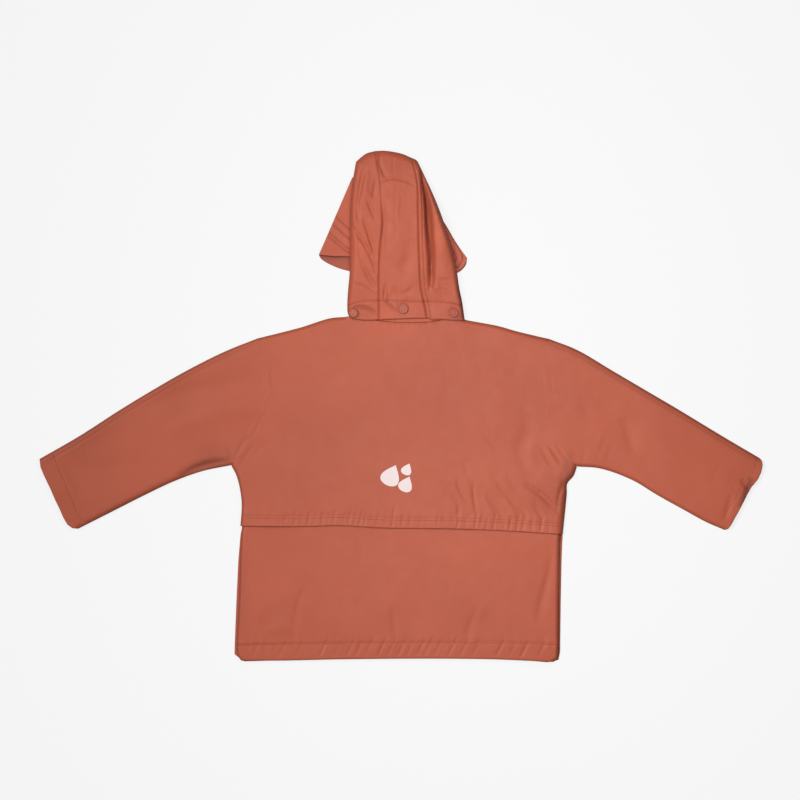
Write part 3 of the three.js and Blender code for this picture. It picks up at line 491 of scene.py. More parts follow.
# How the cloth lies over the body and the sleeves: points, height, width and sharpness of each fold.
bodyFolds = [
    # creases that pull into the left armhole
    (spots((264, 366), (265.4, 378), (266, 391)), 0.6, 1.6, 1),
    (spots((268.6, 362), (269.5, 378), (271.8, 394)), 0.7, 1.6, 1),
    (spots((267, 364), (267.8, 380), (269, 393)), -0.6, 1.5, 1),
    (spots((271, 392), (266, 402), (262.5, 410), (257, 421), (249.5, 436)), 0.45, 2.0, 0.8),
    (spots((263, 415), (258.5, 426), (252, 439)), -0.5, 1.5, 1),
    (spots((256, 414), (252, 424), (247, 432)), -0.5, 1.6, 1),
    (spots((247, 437), (239, 448), (231.5, 462)), -0.55, 1.6, 1),
    (spots((252, 439), (243.5, 450), (236, 461)), 0.5, 2.0, 1),
    (spots((254, 446), (246, 455), (239, 467)), -0.6, 1.7, 1),
    (spots((226, 448), (229, 455), (230, 463)), -0.9, 1.9, 1),
    (spots((266, 444), (254, 456)), -0.6, 3, 1),
    # soft ridge from the left sleeve up to the armhole, with the hollow above it
    (spots((168, 431), (200, 417), (234, 408), (258, 411)), 2.0, 14, 0.8),
    (spots((140, 412), (170, 398), (205, 388), (250, 380)), -1.9, 12, 1),
    (spots((345, 328), (318, 352), (285, 374)), 1.2, 16, 1),
    (spots((318, 380), (312, 430), (330, 480)), -0.8, 20, 1),
    (spots((180, 477), (196, 468), (212, 463), (231, 461)), -2.6, 5.0, 0.7),
    # right armhole
    (spots((546, 372), (547, 382), (549, 393)), 0.36, 1.9, 1),
    (spots((550, 372), (550.5, 384), (551, 394)), -0.3, 1.8, 1),
    (spots((547.5, 400), (548.5, 408), (547, 416)), 0.3, 3.0, 1),
    (spots((545.6, 447), (551, 456), (558, 467)), 0.54, 2.0, 1),
    (spots((549, 446), (554, 454), (561, 463)), -0.66, 1.8, 1),
    (spots((541, 449), (546, 459), (555, 470)), -0.6, 1.9, 1),
    (spots((556, 444), (561, 452), (569, 461)), -0.54, 1.8, 1),
    (spots((607, 436), (601, 447), (595, 461)), -0.42, 1.8, 1),
    (spots((613, 440), (609, 452), (605, 463)), -0.36, 1.8, 1),
    (spots((603, 433), (597, 441)), 0.48, 2.0, 1),
    (spots((585, 448), (583, 457), (584, 463)), -0.48, 1.8, 1),
    # hollow down the right side of the back, and the fan of folds above the flap's hem
    (spots((524, 400), (527, 428), (520, 450), (524.5, 466), (540, 474)), -1.2, 8.5, 1.2),
    (spots((533, 440), (531, 462), (547, 479), (557, 490)), 0.7, 7.5, 1),
    (spots((524, 483), (538, 491.5), (550.5, 502.5), (558, 509)), -2.38, 2.88, 0.5),
    (spots((520, 486), (536, 497), (548, 508)), 0.85, 3.6, 1),
    (spots((562, 472), (562.5, 484), (558.5, 496), (557, 514)), -1.36, 2.24, 1),
    (spots((456, 480), (462, 493), (470, 503)), -1.44, 2.4, 0.8),
    (spots((464, 478), (468, 490), (472, 497)), 0.59, 2.56, 1),
    (spots((473, 482), (474, 498), (477, 516)), -1.36, 2.24, 0.8),
    (spots((451, 494), (458.5, 506), (457, 517)), -1.36, 2.16, 0.8),
    (spots((463, 462), (469, 474)), -0.77, 2.56, 1),
    (spots((486, 494), (496, 506), (503, 517)), -1.44, 2.4, 0.8),
    (spots((482, 496), (489, 508), (494, 517)), 0.68, 2.56, 1),
    (spots((497, 484), (510, 498.5), (521, 508), (528, 519)), -1.53, 2.48, 0.8),
    (spots((503, 498), (511, 509), (515, 518)), 0.94, 2.4, 1),
    (spots((533, 502), (538, 511), (543, 520)), -1.19, 2.4, 1),
    (spots((491, 474), (503, 490)), -0.68, 2.72, 1),
    (spots((505, 476), (519, 492)), -0.77, 2.88, 1),
    (spots((484, 434), (498, 452)), -0.51, 3.6, 1),
    # right sleeve
    (spots((622, 418), (628, 434), (636, 456)), -0.9, 8, 1),
    (spots((578, 398), (590, 418)), -0.5, 6, 1),
    (spots((640, 430), (680, 452), (715, 470)), 0.9, 20, 1),
    (spots((741, 479), (746, 486), (752, 489)), -1.6, 3.2, 1),
    (spots((731, 494), (728, 506), (724, 520)), -0.8, 4, 1),
    # left sleeve towards the cuff
    (spots((92, 462), (120, 448), (150, 436)), 0.7, 16, 1),
    (spots((84, 450), (110, 436)), -0.4, 9, 1),
]
# Painted light and shade on the coated face: a place, its reach and the change as a share.
paintedLightShadeSpots = [
    # body, then sleeves and armpits, then painted shadow rings round the studs
    (10, -10, 95, -0.055), (112, 5, 90, -0.055), (-118, -65, 70, -0.08), (40, 84, 55, -0.03),
    (-2, 215, 60, 0.035), (47, 212, 18, 0.12), (-5, 120, 38, 0.10), (-52, 185, 25, 0.05), (1, 302, 18, -0.06),
    (205, 15, 50, -0.035), (-205, 15, 45, -0.03), (-275, 8, 26, -0.06), (-400, -62, 24, -0.06),
    (-376, -42, 22, -0.05), (186, -112, 28, -0.14), (-237, -60, 22, -0.11), (376, -98, 30, 0.05),
    (-164, -229, 35, 0.03), (-415, -117, 22, -0.04),
    (-58.1, 115.6, 6.2, -0.4), (1.9, 121.9, 7.2, -0.4), (65, 116.9, 6.2, -0.4), (72.5, 110.6, 6, -0.3),
]
# Painted shade along lines, deep inside creases, in hollows and along edges that lie in shadow: points, reach
# and change.
paintedShadeLines = [
    (spots((419, 169), (421, 176), (423, 185), (424.5, 196), (425.5, 208), (426, 220), (427, 233),
           (428.5, 246)), 1.7, -0.72),
    (spots((427, 226), (430, 246), (431, 256), (429.5, 266), (430, 277)), 2.2, -0.26),
    (spots((428, 200), (431, 216), (431.8, 230), (431.0, 244), (430.2, 256), (431, 268), (432.4, 280),
           (434, 292)), 3.6, -0.17),
    (spots((176, 478), (190, 470), (203, 464.5), (217, 462), (231, 461.5)), 6.2, -0.34),
    (spots((79, 526), (110, 510), (145, 493), (185, 472)), 4.6, -0.17),
    (spots((58, 461), (66, 470), (73, 482), (80, 493)), 5.0, -0.07),
    (spots((573, 450), (566, 466), (566.5, 492), (563, 531)), 5.0, -0.28),
    (spots((561, 534), (559.8, 600), (558, 657)), 1.8, -0.35),
    (spots((559, 474), (559.5, 495), (559, 519)), 3.0, -0.14),
    (spots((241, 531), (240, 600), (237, 652)), 4.5, -0.14),
    (spots((751, 477), (747.5, 485), (745, 492), (742.5, 499), (739, 508)), 4.0, -0.6),
    (spots((352, 309.5), (357, 307), (366, 308), (373, 311), (378, 316)), 1.4, -0.38),
    (spots((386.5, 293), (388, 303), (392, 307.5), (396, 312.5)), 1.3, -0.38),
    (spots((382.5, 212), (381.8, 226), (380.5, 242)), 1.2, -0.22),
    (spots((376, 321.5), (392, 323), (410, 323.3), (430, 323), (443, 321)), 1.9, -0.16),
    (spots((457, 273), (460, 295), (462.5, 308), (464.5, 321)), 2.8, -0.5),
    (spots((268.6, 362), (269.5, 376), (271.0, 390)), 1.6, -0.03),
    (spots((262.5, 412), (257, 423), (251.5, 436)), 1.6, -0.04),
    (spots((247, 435), (239, 448), (231.5, 463)), 1.7, -0.14),
    (spots((226, 446), (229, 455), (230, 465)), 1.7, -0.16),
    (spots((254, 445), (246, 455), (239, 468)), 1.7, -0.10),
    (spots((549, 445), (554, 454), (561, 464)), 1.7, -0.08),
    (spots((541, 448), (546, 459), (555, 471)), 1.7, -0.08),
    (spots((607, 435), (601, 447), (595, 462)), 1.7, -0.06),
    (spots((380.5, 151), (380.0, 163), (383.5, 174), (386.5, 181)), 1.3, -0.14),
]
# Painted shade along the stitched rows and seams, along the sleeves' over-arm edges and between the peak's
# plies: how much deeper, and the width.
paintedShadeEdges = {
    "hoodBand": (0.20, 1.0), "bottomHem": (0.06, 1.2), "peakRow": (0.22, 1.2), "hoodSeam": (0.15, 0.9),
    "leftOverArm": (0.13, 7), "rightOverArm": (0.21, 9),
    "overArmSeam": {"inset": 7, "width": 1.5, "change": 0.09},
    "betweenPlies": {"all": 0.2, "atEdge": 0.5, "reach": 3},
    "least": -0.85, "most": 0.2,
}


# Painted light and shade for each sheet: the change of its colour as a share, kept in its tone attribute.
def paintedLightShadeAt(name, x, y):
    total = sum(change * bell(np.hypot(x - px, y - py), reach) for px, py, reach, change in paintedLightShadeSpots)
    total += foldField([(points, change, reach, 1) for points, reach, change in paintedShadeLines], x, y)
    total += grooveField(hoodBandLine, *paintedShadeEdges["hoodBand"], x, y)
    total += grooveField(lowerHemLine, *paintedShadeEdges["bottomHem"], x, y)
    if name.startswith("peak"):
        total += sum(grooveField(line, *paintedShadeEdges["peakRow"], x, y) for line in peakRowLines)
    if name.startswith("hood_panel"):
        total += sum(grooveField(line, *paintedShadeEdges["hoodSeam"], x, y) for line in hoodSeamLines)
    # painted shade between the peak's plies, deepest at the upper ply's edge
    if name == "peak_under_ply":
        shade = paintedShadeEdges["betweenPlies"]
        total -= shade["all"] + shade["atEdge"] * np.exp(-distanceTo([peakMouth], x, y) / shade["reach"])
    # painted shade along the sleeves' over-arm edges and beside the left over-arm seam
    total += grooveField(foldedEdges["leftOver"], *paintedShadeEdges["leftOverArm"], x, y) * smooth(-x, 150, 230)
    total += grooveField(foldedEdges["rightOver"], *paintedShadeEdges["rightOverArm"], x, y) * smooth(x, 120, 190)
    seam = paintedShadeEdges["overArmSeam"]
    fromSeam = nearestOn(foldedEdges["leftOver"], x, y)[0] - seam["inset"]
    total -= seam["change"] * bell(fromSeam, seam["width"]) * smooth(-x, 170, 230)
    return np.clip(total, paintedShadeEdges["least"], paintedShadeEdges["most"])


softness = {"size": 95, "height": 0.9, "smallSize": 30, "smallHeight": 0.22}


def bodyForm(x, y):
    form = foldField(bodyFolds, x, y) + softness["height"] * noiseField(x, y, softness["size"], seed=3.1)
    return form + softness["smallHeight"] * noiseField(x, y, softness["smallSize"], seed=8.7)


# Fronts and placket, which lie on the floor under the rest
fronts = {
    "top": 1.95, "thickness": 1.8, "seamX": 28.05, "seamFoot": -314.9, "neckDrop": 42, "spacing": 4.5,
    "across": 180, "along": 420, "edgeDrop": 0.35, "edgeReach": 1.6,
    "tuck": 2.4, "tuckBelow": -150, "tuckReach": 14, "tuckTo": (90, -100),  # what keeps them inside the back
}


def frontPiece(side):
    sign = -1 if side == "left" else 1
    neckSide = neckline[0 if side == "left" else -1]
    share = np.linspace(0, 1, 9)
    neckRow = np.column_stack([neckSide[0] + (sign * fronts["seamX"] - neckSide[0]) * share,
                               neckSide[1] - fronts["neckDrop"] * np.sin(math.pi / 2 * share)])
    top = evenSteps(np.vstack([armhole(side)[-1:], shoulders[side][::-1], neckRow]), 80)
    outer = evenSteps(np.vstack([frontSides[side][::-1][1:], flapSides[side][::-1], armhole(side)]), 120)
    hem = smoothLine(bottomEdge)
    cut = hem[hem[:, 0] * sign > fronts["seamX"]]
    cut = cut if sign < 0 else cut[::-1]
    foot = evenSteps(np.vstack([outer[:1], cut[1:], [(sign * fronts["seamX"], fronts["seamFoot"])]]), 60)
    inner = evenSteps(np.array([foot[-1], top[-1]]), 60)
    edges = (outer, inner, foot, top)
    middleX, middleY = sign * fronts["tuckTo"][0], fronts["tuckTo"][1]

    def place(u, v):
        x, y = patchPoints(edges, u, v)
        hidden = smooth(y, fronts["tuckBelow"] - 12, fronts["tuckBelow"])
        inset = distanceTo([outer, top], x, y)
        away = np.hypot(x - middleX, y - middleY)
        pull = fronts["tuck"] * hidden * bell(inset, fronts["tuckReach"]) / away
        x, y = x + (middleX - x) * pull, y + (middleY - y) * pull
        drop = fronts["edgeDrop"] * edgeRound(distanceTo([outer, foot], x, y), fronts["edgeReach"])
        return x, y, fronts["top"] - drop

    across = gridSteps(fronts["across"], fronts["spacing"], edgeSteps)
    along = gridSteps(fronts["along"], fronts["spacing"], edgeSteps, edgeSteps)
    return clothSheet("front_panel_" + side, across, along, place, fronts["thickness"], clothCoated,
                      "front_" + side)


frontPanels = {side: frontPiece(side) for side in ("left", "right")}
placketStrip = {"half": 28, "foot": -315, "head": 65.1, "top": 1.95, "thickness": 1.8, "edgeDrop": 0.3,
                "edgeReach": 1.2}


def placketPlace(u, v):
    half, foot, head = (placketStrip[key] for key in ("half", "foot", "head"))
    x, y = half * (2 * u - 1), foot + (head - foot) * v
    drop = placketStrip["edgeDrop"] * edgeRound(half - abs(x), placketStrip["edgeReach"])
    return x, y, placketStrip["top"] - drop


placket = clothSheet("placket", gridSteps(56, 4, edgeSteps, edgeSteps), gridSteps(380, 5), placketPlace,
                     placketStrip["thickness"], clothCoated, "front_placket")
print("fronts and placket made")

# Lower back, with its turned bottom hem
# In the settings a groove has its depth and width, a softness its size and height, and gathers their
# spacing, height, reach and seed.
lowerBack = {
    "clear": 0.3, "hemRaise": 0.75, "hemGroove": (1.15, 0.9), "softness": (80, 0.8), "fineness": (26, 0.2),
    "puckerShare": 0.6, "puckerWidth": 1.6, "puckerDown": 15, "puckerSlant": 0.5, "gathers": (7, 0.7, 9, 4.4),
    "rightDroop": (1.2, 2.6), "footDrop": 1.5, "footReach": 2.6,
}
lowerFolds = [
    (spots((306, 584), (299, 600), (295.5, 618), (294, 640)), -0.9, 3.6, 1.6),
    (spots((303, 560), (288, 590), (284, 632)), 0.4, 9, 1),
    (spots((359, 528), (360.5, 550), (360, 568)), -0.7, 6, 1),
    (spots((392, 604), (394, 622), (395.5, 640)), -0.8, 3.4, 1.3),
    (spots((477, 608), (470, 624), (466, 640)), -0.8, 4.2, 1.3),
    (spots((484, 604), (476, 622)), 0.5, 6, 1),
    (spots((552, 556), (547, 580), (540, 606), (537, 624)), -1.0, 4.5, 1.6),
    (spots((557, 548), (553, 572), (549, 600)), 0.3, 4.5, 1),
    (spots((239, 545), (246, 572), (252, 600), (252, 628)), -0.6, 5, 1.3),
    (spots((253, 556), (260, 590), (262, 625)), 0.4, 8, 1),
    (spots((262, 632), (285, 628), (300, 634)), 0.6, 6, 1),
]
lowerEdges = (
    smoothLine(lowerSides["left"][::-1], 80), smoothLine(lowerSides["right"][::-1], 80),
    smoothLine([lowerSides["left"][-1], *bottomEdge[1:-1], lowerSides["right"][-1]], 80),
    smoothLine([lowerSides["left"][0], (0, -106), lowerSides["right"][0]], 60),
)
# Distance along the row, depth and how far up, of each pucker in the hem.
lowerPuckers = [
    (28, 0.7, 3), (61, 1.2, 4), (82, 0.6, 3), (112, 1.5, 5), (131, 0.7, 4), (146, 1.2, 8), (157, 1.3, 4),
    (169, 0.8, 7), (185, 1.5, 9), (197, 1.0, 12), (210, 1.4, 5), (221, 0.9, 4), (234, 1.2, 6), (243, 1.0, 8),
    (255, 1.0, 4), (273, 1.4, 9), (288, 1.1, 10), (303, 0.7, 4), (333, 1.4, 4), (349, 0.6, 3), (364, 1.3, 4),
    (385, 0.7, 3),
]


def lowerPlace(u, v):
    x, y = patchPoints(lowerEdges, u, v)
    look = lowerBack
    base = frontTop + look["clear"]
    rise = lowerTop - base
    inset = np.where((u == 0) | (u == 1), 0, distanceTo(lowerEdges[:2], x, y))
    fromHem = nearestOn(lowerHemLine, x, y)
    form = foldField(lowerFolds, x, y)
    for (size, height), seed in zip((look["softness"], look["fineness"]), (5.2, 1.7)):
        form += height * noiseField(x, y, size, seed)
    form += look["puckerShare"] * puckers(lowerHemLine, lowerPuckers, look["puckerWidth"], look["puckerDown"],
                                          look["puckerSlant"], x, y)
    form += gathers(lowerHemLine, *look["gathers"], x, y)
    form += grooveField(lowerHemLine, *look["hemGroove"], x, y)
    form += look["hemRaise"] * smooth(fromHem[0] * -fromHem[2], -1.2, 1.2)
    form += grooveField(lowerEdges[1], *look["rightDroop"], x, y)
    form -= look["footDrop"] * edgeRound(nearestOn(lowerEdges[2], x, y)[0], look["footReach"])
    return x, y, np.maximum(base + (rise + form) * quarter(inset / rise), frontTop + 0.25)


lowerHemSteps = [0.2, 0.6, 1.2, 2, 3, 4.5, 6.5, 8.5, 10.5, 12.5, 14.5, 16, 17.2, 18.2, 18.9, 19.5, 20.1, 20.7,
                 21.4, 22.4, 23.8, 25.5]
lowerPiece = clothSheet("lower_back", gridSteps(400, 1.6, rollSteps, rollSteps),
                        gridSteps(212, 3.0, lowerHemSteps), lowerPlace, wall, clothCoated, "back_lower")
print("lower back made")

# Upper back, whose lower edge hangs free over the lower back
upperBack = {
    "hemRaise": 0.6, "hem": (13.2, 14.6), "upperRow": (13.8, 0.3, 0.9), "lowerRow": (10.0, 0.2, 0.8),
    "puckerShare": 0.62, "puckerWidth": 1.6, "puckerDown": 12, "puckerSlant": 0.12,
    "gathers": (6, 0.8, 7, 2.2),
    "gapes": [(-168, 40, 1.7), (168, 26, 2.0)], "gapeNoise": (60, 0.9), "gapeReach": 14,  # x, width, height
    "footDrop": 0.9, "footReach": 1.3,
    "neckGathers": (5, 0.8, 9, 7.7), "neckPuckers": (0.5, 1.3, 7, 0), "neckDrop": 0.8, "neckReach": 1.4,
    "rightDroop": (2.6, 5.0), "tuck": 1.6,
}
flapHemLine = smoothLine(flapHem, 80)
flapRowUpper = flapHemLine + np.array([0, upperBack["upperRow"][0]])
flapRowLower = flapHemLine + np.array([0, upperBack["lowerRow"][0]])
neckCurve = smoothLine(neckline, 60)
# Distance along the row, depth and how far up, of each pucker at the neck and in the flap's hem.
neckPuckers = [(40, 0.8, 2), (45, 1.1, 2), (50, 0.8, 2), (54, 1.2, 2), (59, 0.9, 2), (64, 1.0, 2),
               (70, 0.6, 2)]
flapPuckers = [
    (51, 1.0, 5), (57, 0.7, 3), (69, 1.6, 7), (77, 0.8, 3), (86, 1.7, 6), (94, 0.9, 5), (103, 1.2, 4),
    (111, 0.8, 3), (118, 1.3, 6), (131, 0.9, 4), (137, 1.2, 5), (144, 0.8, 4), (151, 1.7, 7), (157, 1.4, 5),
    (172, 0.8, 4), (191, 1.7, 18), (203, 0.9, 4), (213, 0.7, 4), (226, 0.9, 5), (247, 0.6, 4), (273, 1.3, 12),
    (283, 0.7, 4), (295, 1.2, 9), (301, 0.6, 4), (309, 1.0, 5), (318, 1.3, 9), (331, 0.8, 6), (338, 1.1, 5),
    (347, 1.3, 8), (354, 0.6, 5), (366, 0.8, 4), (377, 1.1, 8), (387, 0.7, 5),
]


def upperSide(side):
    flapSide = smoothLine([*flapSides[side][::-1], sleeveRows[side][0][2:]], 40)
    return evenSteps(np.vstack([flapSide[:-1], armhole(side)]), 160)


upperEdges = (
    upperSide("left"), upperSide("right"), flapHemLine,
    smoothLine([sleeveRows["left"][0][:2], *shoulders["left"][::-1], *neckline, *shoulders["right"],
                sleeveRows["right"][0][:2]], 160),
)


# How far the level rises towards the flap, which lies over the lower back.
def overLower(y):
    return (flapTop - upperTop) * smooth(-y, 45, 98)


def upperPlace(u, v):
    x, y = patchPoints(upperEdges, u, v)
    look = upperBack
    inset = fromFoldedEdge(x, y)
    inset = np.where(((u == 0) | (u == 1) | (v == 1)) & (inset < 0.3), 0, inset)
    fromHem, fromNeck = nearestOn(flapHemLine, x, y)[0], nearestOn(neckCurve, x, y)[0]
    form = bodyForm(x, y) + look["hemRaise"] * (1 - smooth(fromHem, *look["hem"]))
    form += grooveField(flapRowUpper, *look["upperRow"][1:], x, y)
    form += grooveField(flapRowLower, *look["lowerRow"][1:], x, y)
    form += look["puckerShare"] * puckers(flapRowUpper, flapPuckers, look["puckerWidth"], look["puckerDown"],
                                          look["puckerSlant"], x, y)
    form += gathers(flapRowUpper, *look["gathers"], x, y) + gathers(neckCurve, *look["neckGathers"], x, y)
    gape = look["gapeNoise"][1] * noiseField(x, 0 * y, look["gapeNoise"][0], seed=2)
    gape += sum(height * bell(x - middle, width) for middle, width, height in look["gapes"])
    form += gape * np.exp(-fromHem / look["gapeReach"])
    form -= look["footDrop"] * edgeRound(fromHem, look["footReach"])
    form -= look["neckDrop"] * edgeRound(fromNeck, look["neckReach"])
    share, *pucker = look["neckPuckers"]
    form += share * puckers(neckCurve, neckPuckers, *pucker, x, y)
    form += grooveField(foldedEdges["rightFlap"], *look["rightDroop"], x, y)
    base = frontTop + 0.3 - look["tuck"] * smooth(y, -100, -80)
    return x, y, base + (upperTop + overLower(y) - base + form) * quarter(inset / edgeRoll)


flapSteps = [0.15, 0.5, 1.0, 1.8, 3.2, 5, 7, 8.6, 9.4, 10, 10.6, 11.4, 12.4, 13.2, 13.8, 14.4, 15.2, 16.4,
             18]
upperPiece = clothSheet("upper_back", gridSteps(420, 1.3, rollSteps, rollSteps),
                        gridSteps(250, 3.0, flapSteps, rollSteps), upperPlace, wall, clothCoated,
                        "back_upper")
print("upper back made")

# Sleeves: flattened tubes
sleeves = {
    "length": 300, "width": 150, "underRoll": 2.6, "footDrop": 0.9, "footReach": 1.3,
    "hem": {"left": (19.5, 14), "right": (7.8, 11.5)},  # its width at the over-arm and at the under-arm edge
    "hemRaise": {"left": 0.4, "right": 0.08}, "hemGroove": {"left": 0.45, "right": 0.1},
    "overSeam": {"left": 7.5, "right": 5.5}, "overSeamGroove": (1.1, 0.6),
    "overSeamLift": (2.4, 1.8, 0.3),  # distance, width and height of the ridge beside the seam
    "topShare": 0.75,  # the share of the loop on the upper side, which is finer
}


def sleevePoints(side, share, v):
    over, under = onLine(overLines[side], v), onLine(underLines[side], v)
    inwards = 1 if side == "left" else -1
    bow = inwards * np.interp(v, *zip(*cuffs[side]["bow"])) * np.sin(math.pi * share)
    chord = np.subtract(cuffs[side]["under"], cuffs[side]["over"])
    outwards = np.array([chord[1], -chord[0]]) / np.hypot(*chord) * inwards
    bulge = np.interp(share, *zip(*cuffs[side]["bulge"])) * smooth(v, 0.8, 1.02)
    x = over[:, 0] + (under[:, 0] - over[:, 0]) * share + bow + outwards[0] * bulge
    y = over[:, 1] + (under[:, 1] - over[:, 1]) * share + outwards[1] * bulge
    return x, y


# The length of the sleeve and the width of its hem, for a share from the over-arm to the under-arm edge.
def sleeveReach(side, share):
    over, under = lengthOf(overLines[side]), lengthOf(underLines[side])
    hemOver, hemUnder = sleeves["hem"][side]
    return over + (under - over) * share, hemOver + (hemUnder - hemOver) * share


def sleevePiece(side):
    underSteps = [0.2, 0.7, 1.5, 2.6, 5]
    topShare = sleeves["topShare"]
    topAcross = gridSteps(sleeves["width"], 2.6, rollSteps + [8, 10], rollSteps + [8, 10])
    underAcross = gridSteps(sleeves["width"], 9, underSteps, underSteps)
    loop = np.concatenate([topAcross * topShare, topShare + underAcross[1:] * (1 - topShare)])
    cuffSteps = [0.2, 0.6, 1.2, 2] + [3 + 1.05 * k for k in range(22)]
    along = gridSteps(sleeves["length"], 2.8, [0.1, 0.3, 0.7, 1.4], cuffSteps)
    seam = smoothLine(shoulders[side][-1:] + [tuple(p) for p in overLines[side][::10]], 80)

    def place(u, v):
        onTop = u <= topShare
        share = np.where(onTop, u / topShare, 1 - (u - topShare) / (1 - topShare))
        x, y = sleevePoints(side, share, v)
        inset = np.where((share < 1e-6) | (share > 1 - 1e-6), 0, fromFoldedEdge(x, y))
        reach, hem = sleeveReach(side, share)
        fromCuff = (1 - v) * reach
        form = bodyForm(x, y) + overLower(y) * (1 - smooth(v, 0, 0.25))
        form += sleeves["hemRaise"][side] * (1 - smooth(fromCuff, hem - 0.8, hem + 0.8))
        form -= sleeves["hemGroove"][side] * bell(fromCuff - hem - 0.4, 1.0)
        form -= sleeves["footDrop"] * edgeRound(fromCuff, sleeves["footReach"])
        fromOver = nearestOn(seam, x, y)[0] - sleeves["overSeam"][side]
        (away, width, height), (groove, depth) = sleeves["overSeamLift"], sleeves["overSeamGroove"]
        seamForm = height * bell(fromOver - away, width) - depth * bell(fromOver, groove)
        form += seamForm * (1 - smooth(v, 0.9, 0.97))
        under = sleeves["underRoll"]
        top = under + (upperTop - under + form) * quarter(inset / edgeRoll)
        return x, y, np.where(onTop, top, under * edgeRound(inset, under) + 0.05)

    return clothSheet("sleeve_tube_" + side, loop, along, place, wall, clothCoated, "sleeve_" + side,
                      tube=True)


sleevePieces = {side: sleevePiece(side) for side in ("left", "right")}
print("sleeves made")

# Stand collar inside the foot of the hood
collarForm = {
    "inset": 5.5, "height": 28, "base": 2.3, "rise": 5.4, "roll": 2.7, "thickness": 1.5, "clear": 0.3,
    "seamShare": (0.04, 0.96), "softness": (14, 0.25), "around": 126,
}


def collarPlace(u, v):
    onTop = u <= 0.5
    share = np.where(onTop, u * 2, 2 - u * 2)
    left, right = neckline[0][0] + collarForm["inset"], neckline[-1][0] - collarForm["inset"]
    x = left + (right - left) * share
    first, last = collarForm["seamShare"]
    seamY = onLine(neckCurve, first + (last - first) * share)[:, 1]
    drop = np.where(onTop, 0, fronts["neckDrop"] * np.sin(math.pi * share) ** 0.8)
    foot = seamY + collarForm["clear"] - drop
    y = foot + (seamY + collarForm["height"] - foot) * v
    rounding = quarter(np.minimum(x - left, right - x) / collarForm["roll"])
    half = collarForm["rise"] / 2
    z = collarForm["base"] + half + np.where(onTop, 1, -1) * half * rounding
    size, height = collarForm["softness"]
    z += np.where(onTop, height * noiseField(x, y, size, seed=6.1), 0)
    return x, y, z


collarEnds = [0.1, 0.4, 0.9, 1.6, 2.7]
collarLoop = gridSteps(collarForm["around"], 2.2, collarEnds, collarEnds)
collarLoop = np.concatenate([collarLoop * 0.5, 0.5 + collarLoop[1:] * 0.5])
collarPiece = clothSheet("stand_collar", collarLoop, gridSteps(28, 3, [0.3, 1]), collarPlace,
                         collarForm["thickness"], clothCoated, "collar", tube=True)
print("collar made")

# Hood
hoodEdges = {
    "left": [(-63.6, 109.6), (-66.6, 117.0), (-67.1, 128.1), (-66.2, 144.4), (-64.2, 168.1), (-63.8, 236.9),
             (-62.6, 258.1), (-60.4, 280.6), (-56.2, 305.6)],
    "leftSeam": [(-27.5, 108.1), (-27.5, 168.1), (-25.9, 200.6), (-23.0, 225.6), (-24.6, 258.1),
                 (-25.8, 280.6), (-32.5, 319.0)],
    "rightSeam": [(32.5, 110.1), (29.4, 128.1), (25.6, 144.4), (22.6, 190), (21.6, 236.9), (20.4, 280.6),
                  (13.6, 310.3)],
    "right": [(79.8, 107.0), (76.2, 131.9), (73.0, 146.9), (68.3, 178.1), (60.5, 208.8), (51.2, 236.9),
              (41.9, 260.6), (27.0, 293.0), (20.6, 306.4)],
}
crownEdges = {
    "left": [(-56.2, 305.6), (-43.8, 315.6), (-32.5, 319.0)],
    "centre": [(-32.5, 319.0), (-20, 319.4), (1.2, 315.6), (13.6, 310.3)],
    "right": [(13.6, 310.3), (17.4, 308.8), (20.6, 306.4)],
}
hoodFoot = {
    "left": [(-63.6, 109.6), (-44, 107.6), (-27.5, 108.1)],
    "centre": [(-27.5, 108.1), (-11, 109.0), (4, 109.6), (19, 110.1), (32.5, 110.1)],
    "right": [(32.5, 110.1), (54, 108.2), (69, 107.4), (79.8, 107.0)],
}
bandLift = [(100, 0), (139, 0), (169, 3.9), (204, 3.9), (236, 3.7), (296, 3.5), (325, 0)]
edgeLift = [(100, 0), (150, 0), (175, 1.6), (290, 1.6), (330, 0)]  # the hood's edge lies on the peak
hoodLoft = [(100, 10.8), (125, 11.8), (165, 16.6), (215, 19.2), (262, 18.8), (290, 16.6), (325, 11.0)]
hood = {
    "leftRoll": 9.0, "rightRoll": 7.0,
    "bandRaise": 0.7, "bandGroove": (1.1, 1.0), "bandGathers": (7, 0.8, 8, 5.5),
    "leftSeam": (1.7, 1.1), "rightSeam": (1.5, 1.0), "rightStitch": (0.9, 0.9), "stitchAway": 5.0,
    "softness": (38, 0.9), "fineness": (12, 0.25), "streaks": (16, 0.12), "streakStretch": (3.2, 0.55),
    "footDrop": 1.1, "footReach": 1.5, "edgeClear": 0.7, "bandClear": 0.5,
}
hoodLines = {name: smoothLine(points, 70) for name, points in hoodEdges.items()}
crownLines = {name: smoothLine(points, 20) for name, points in crownEdges.items()}
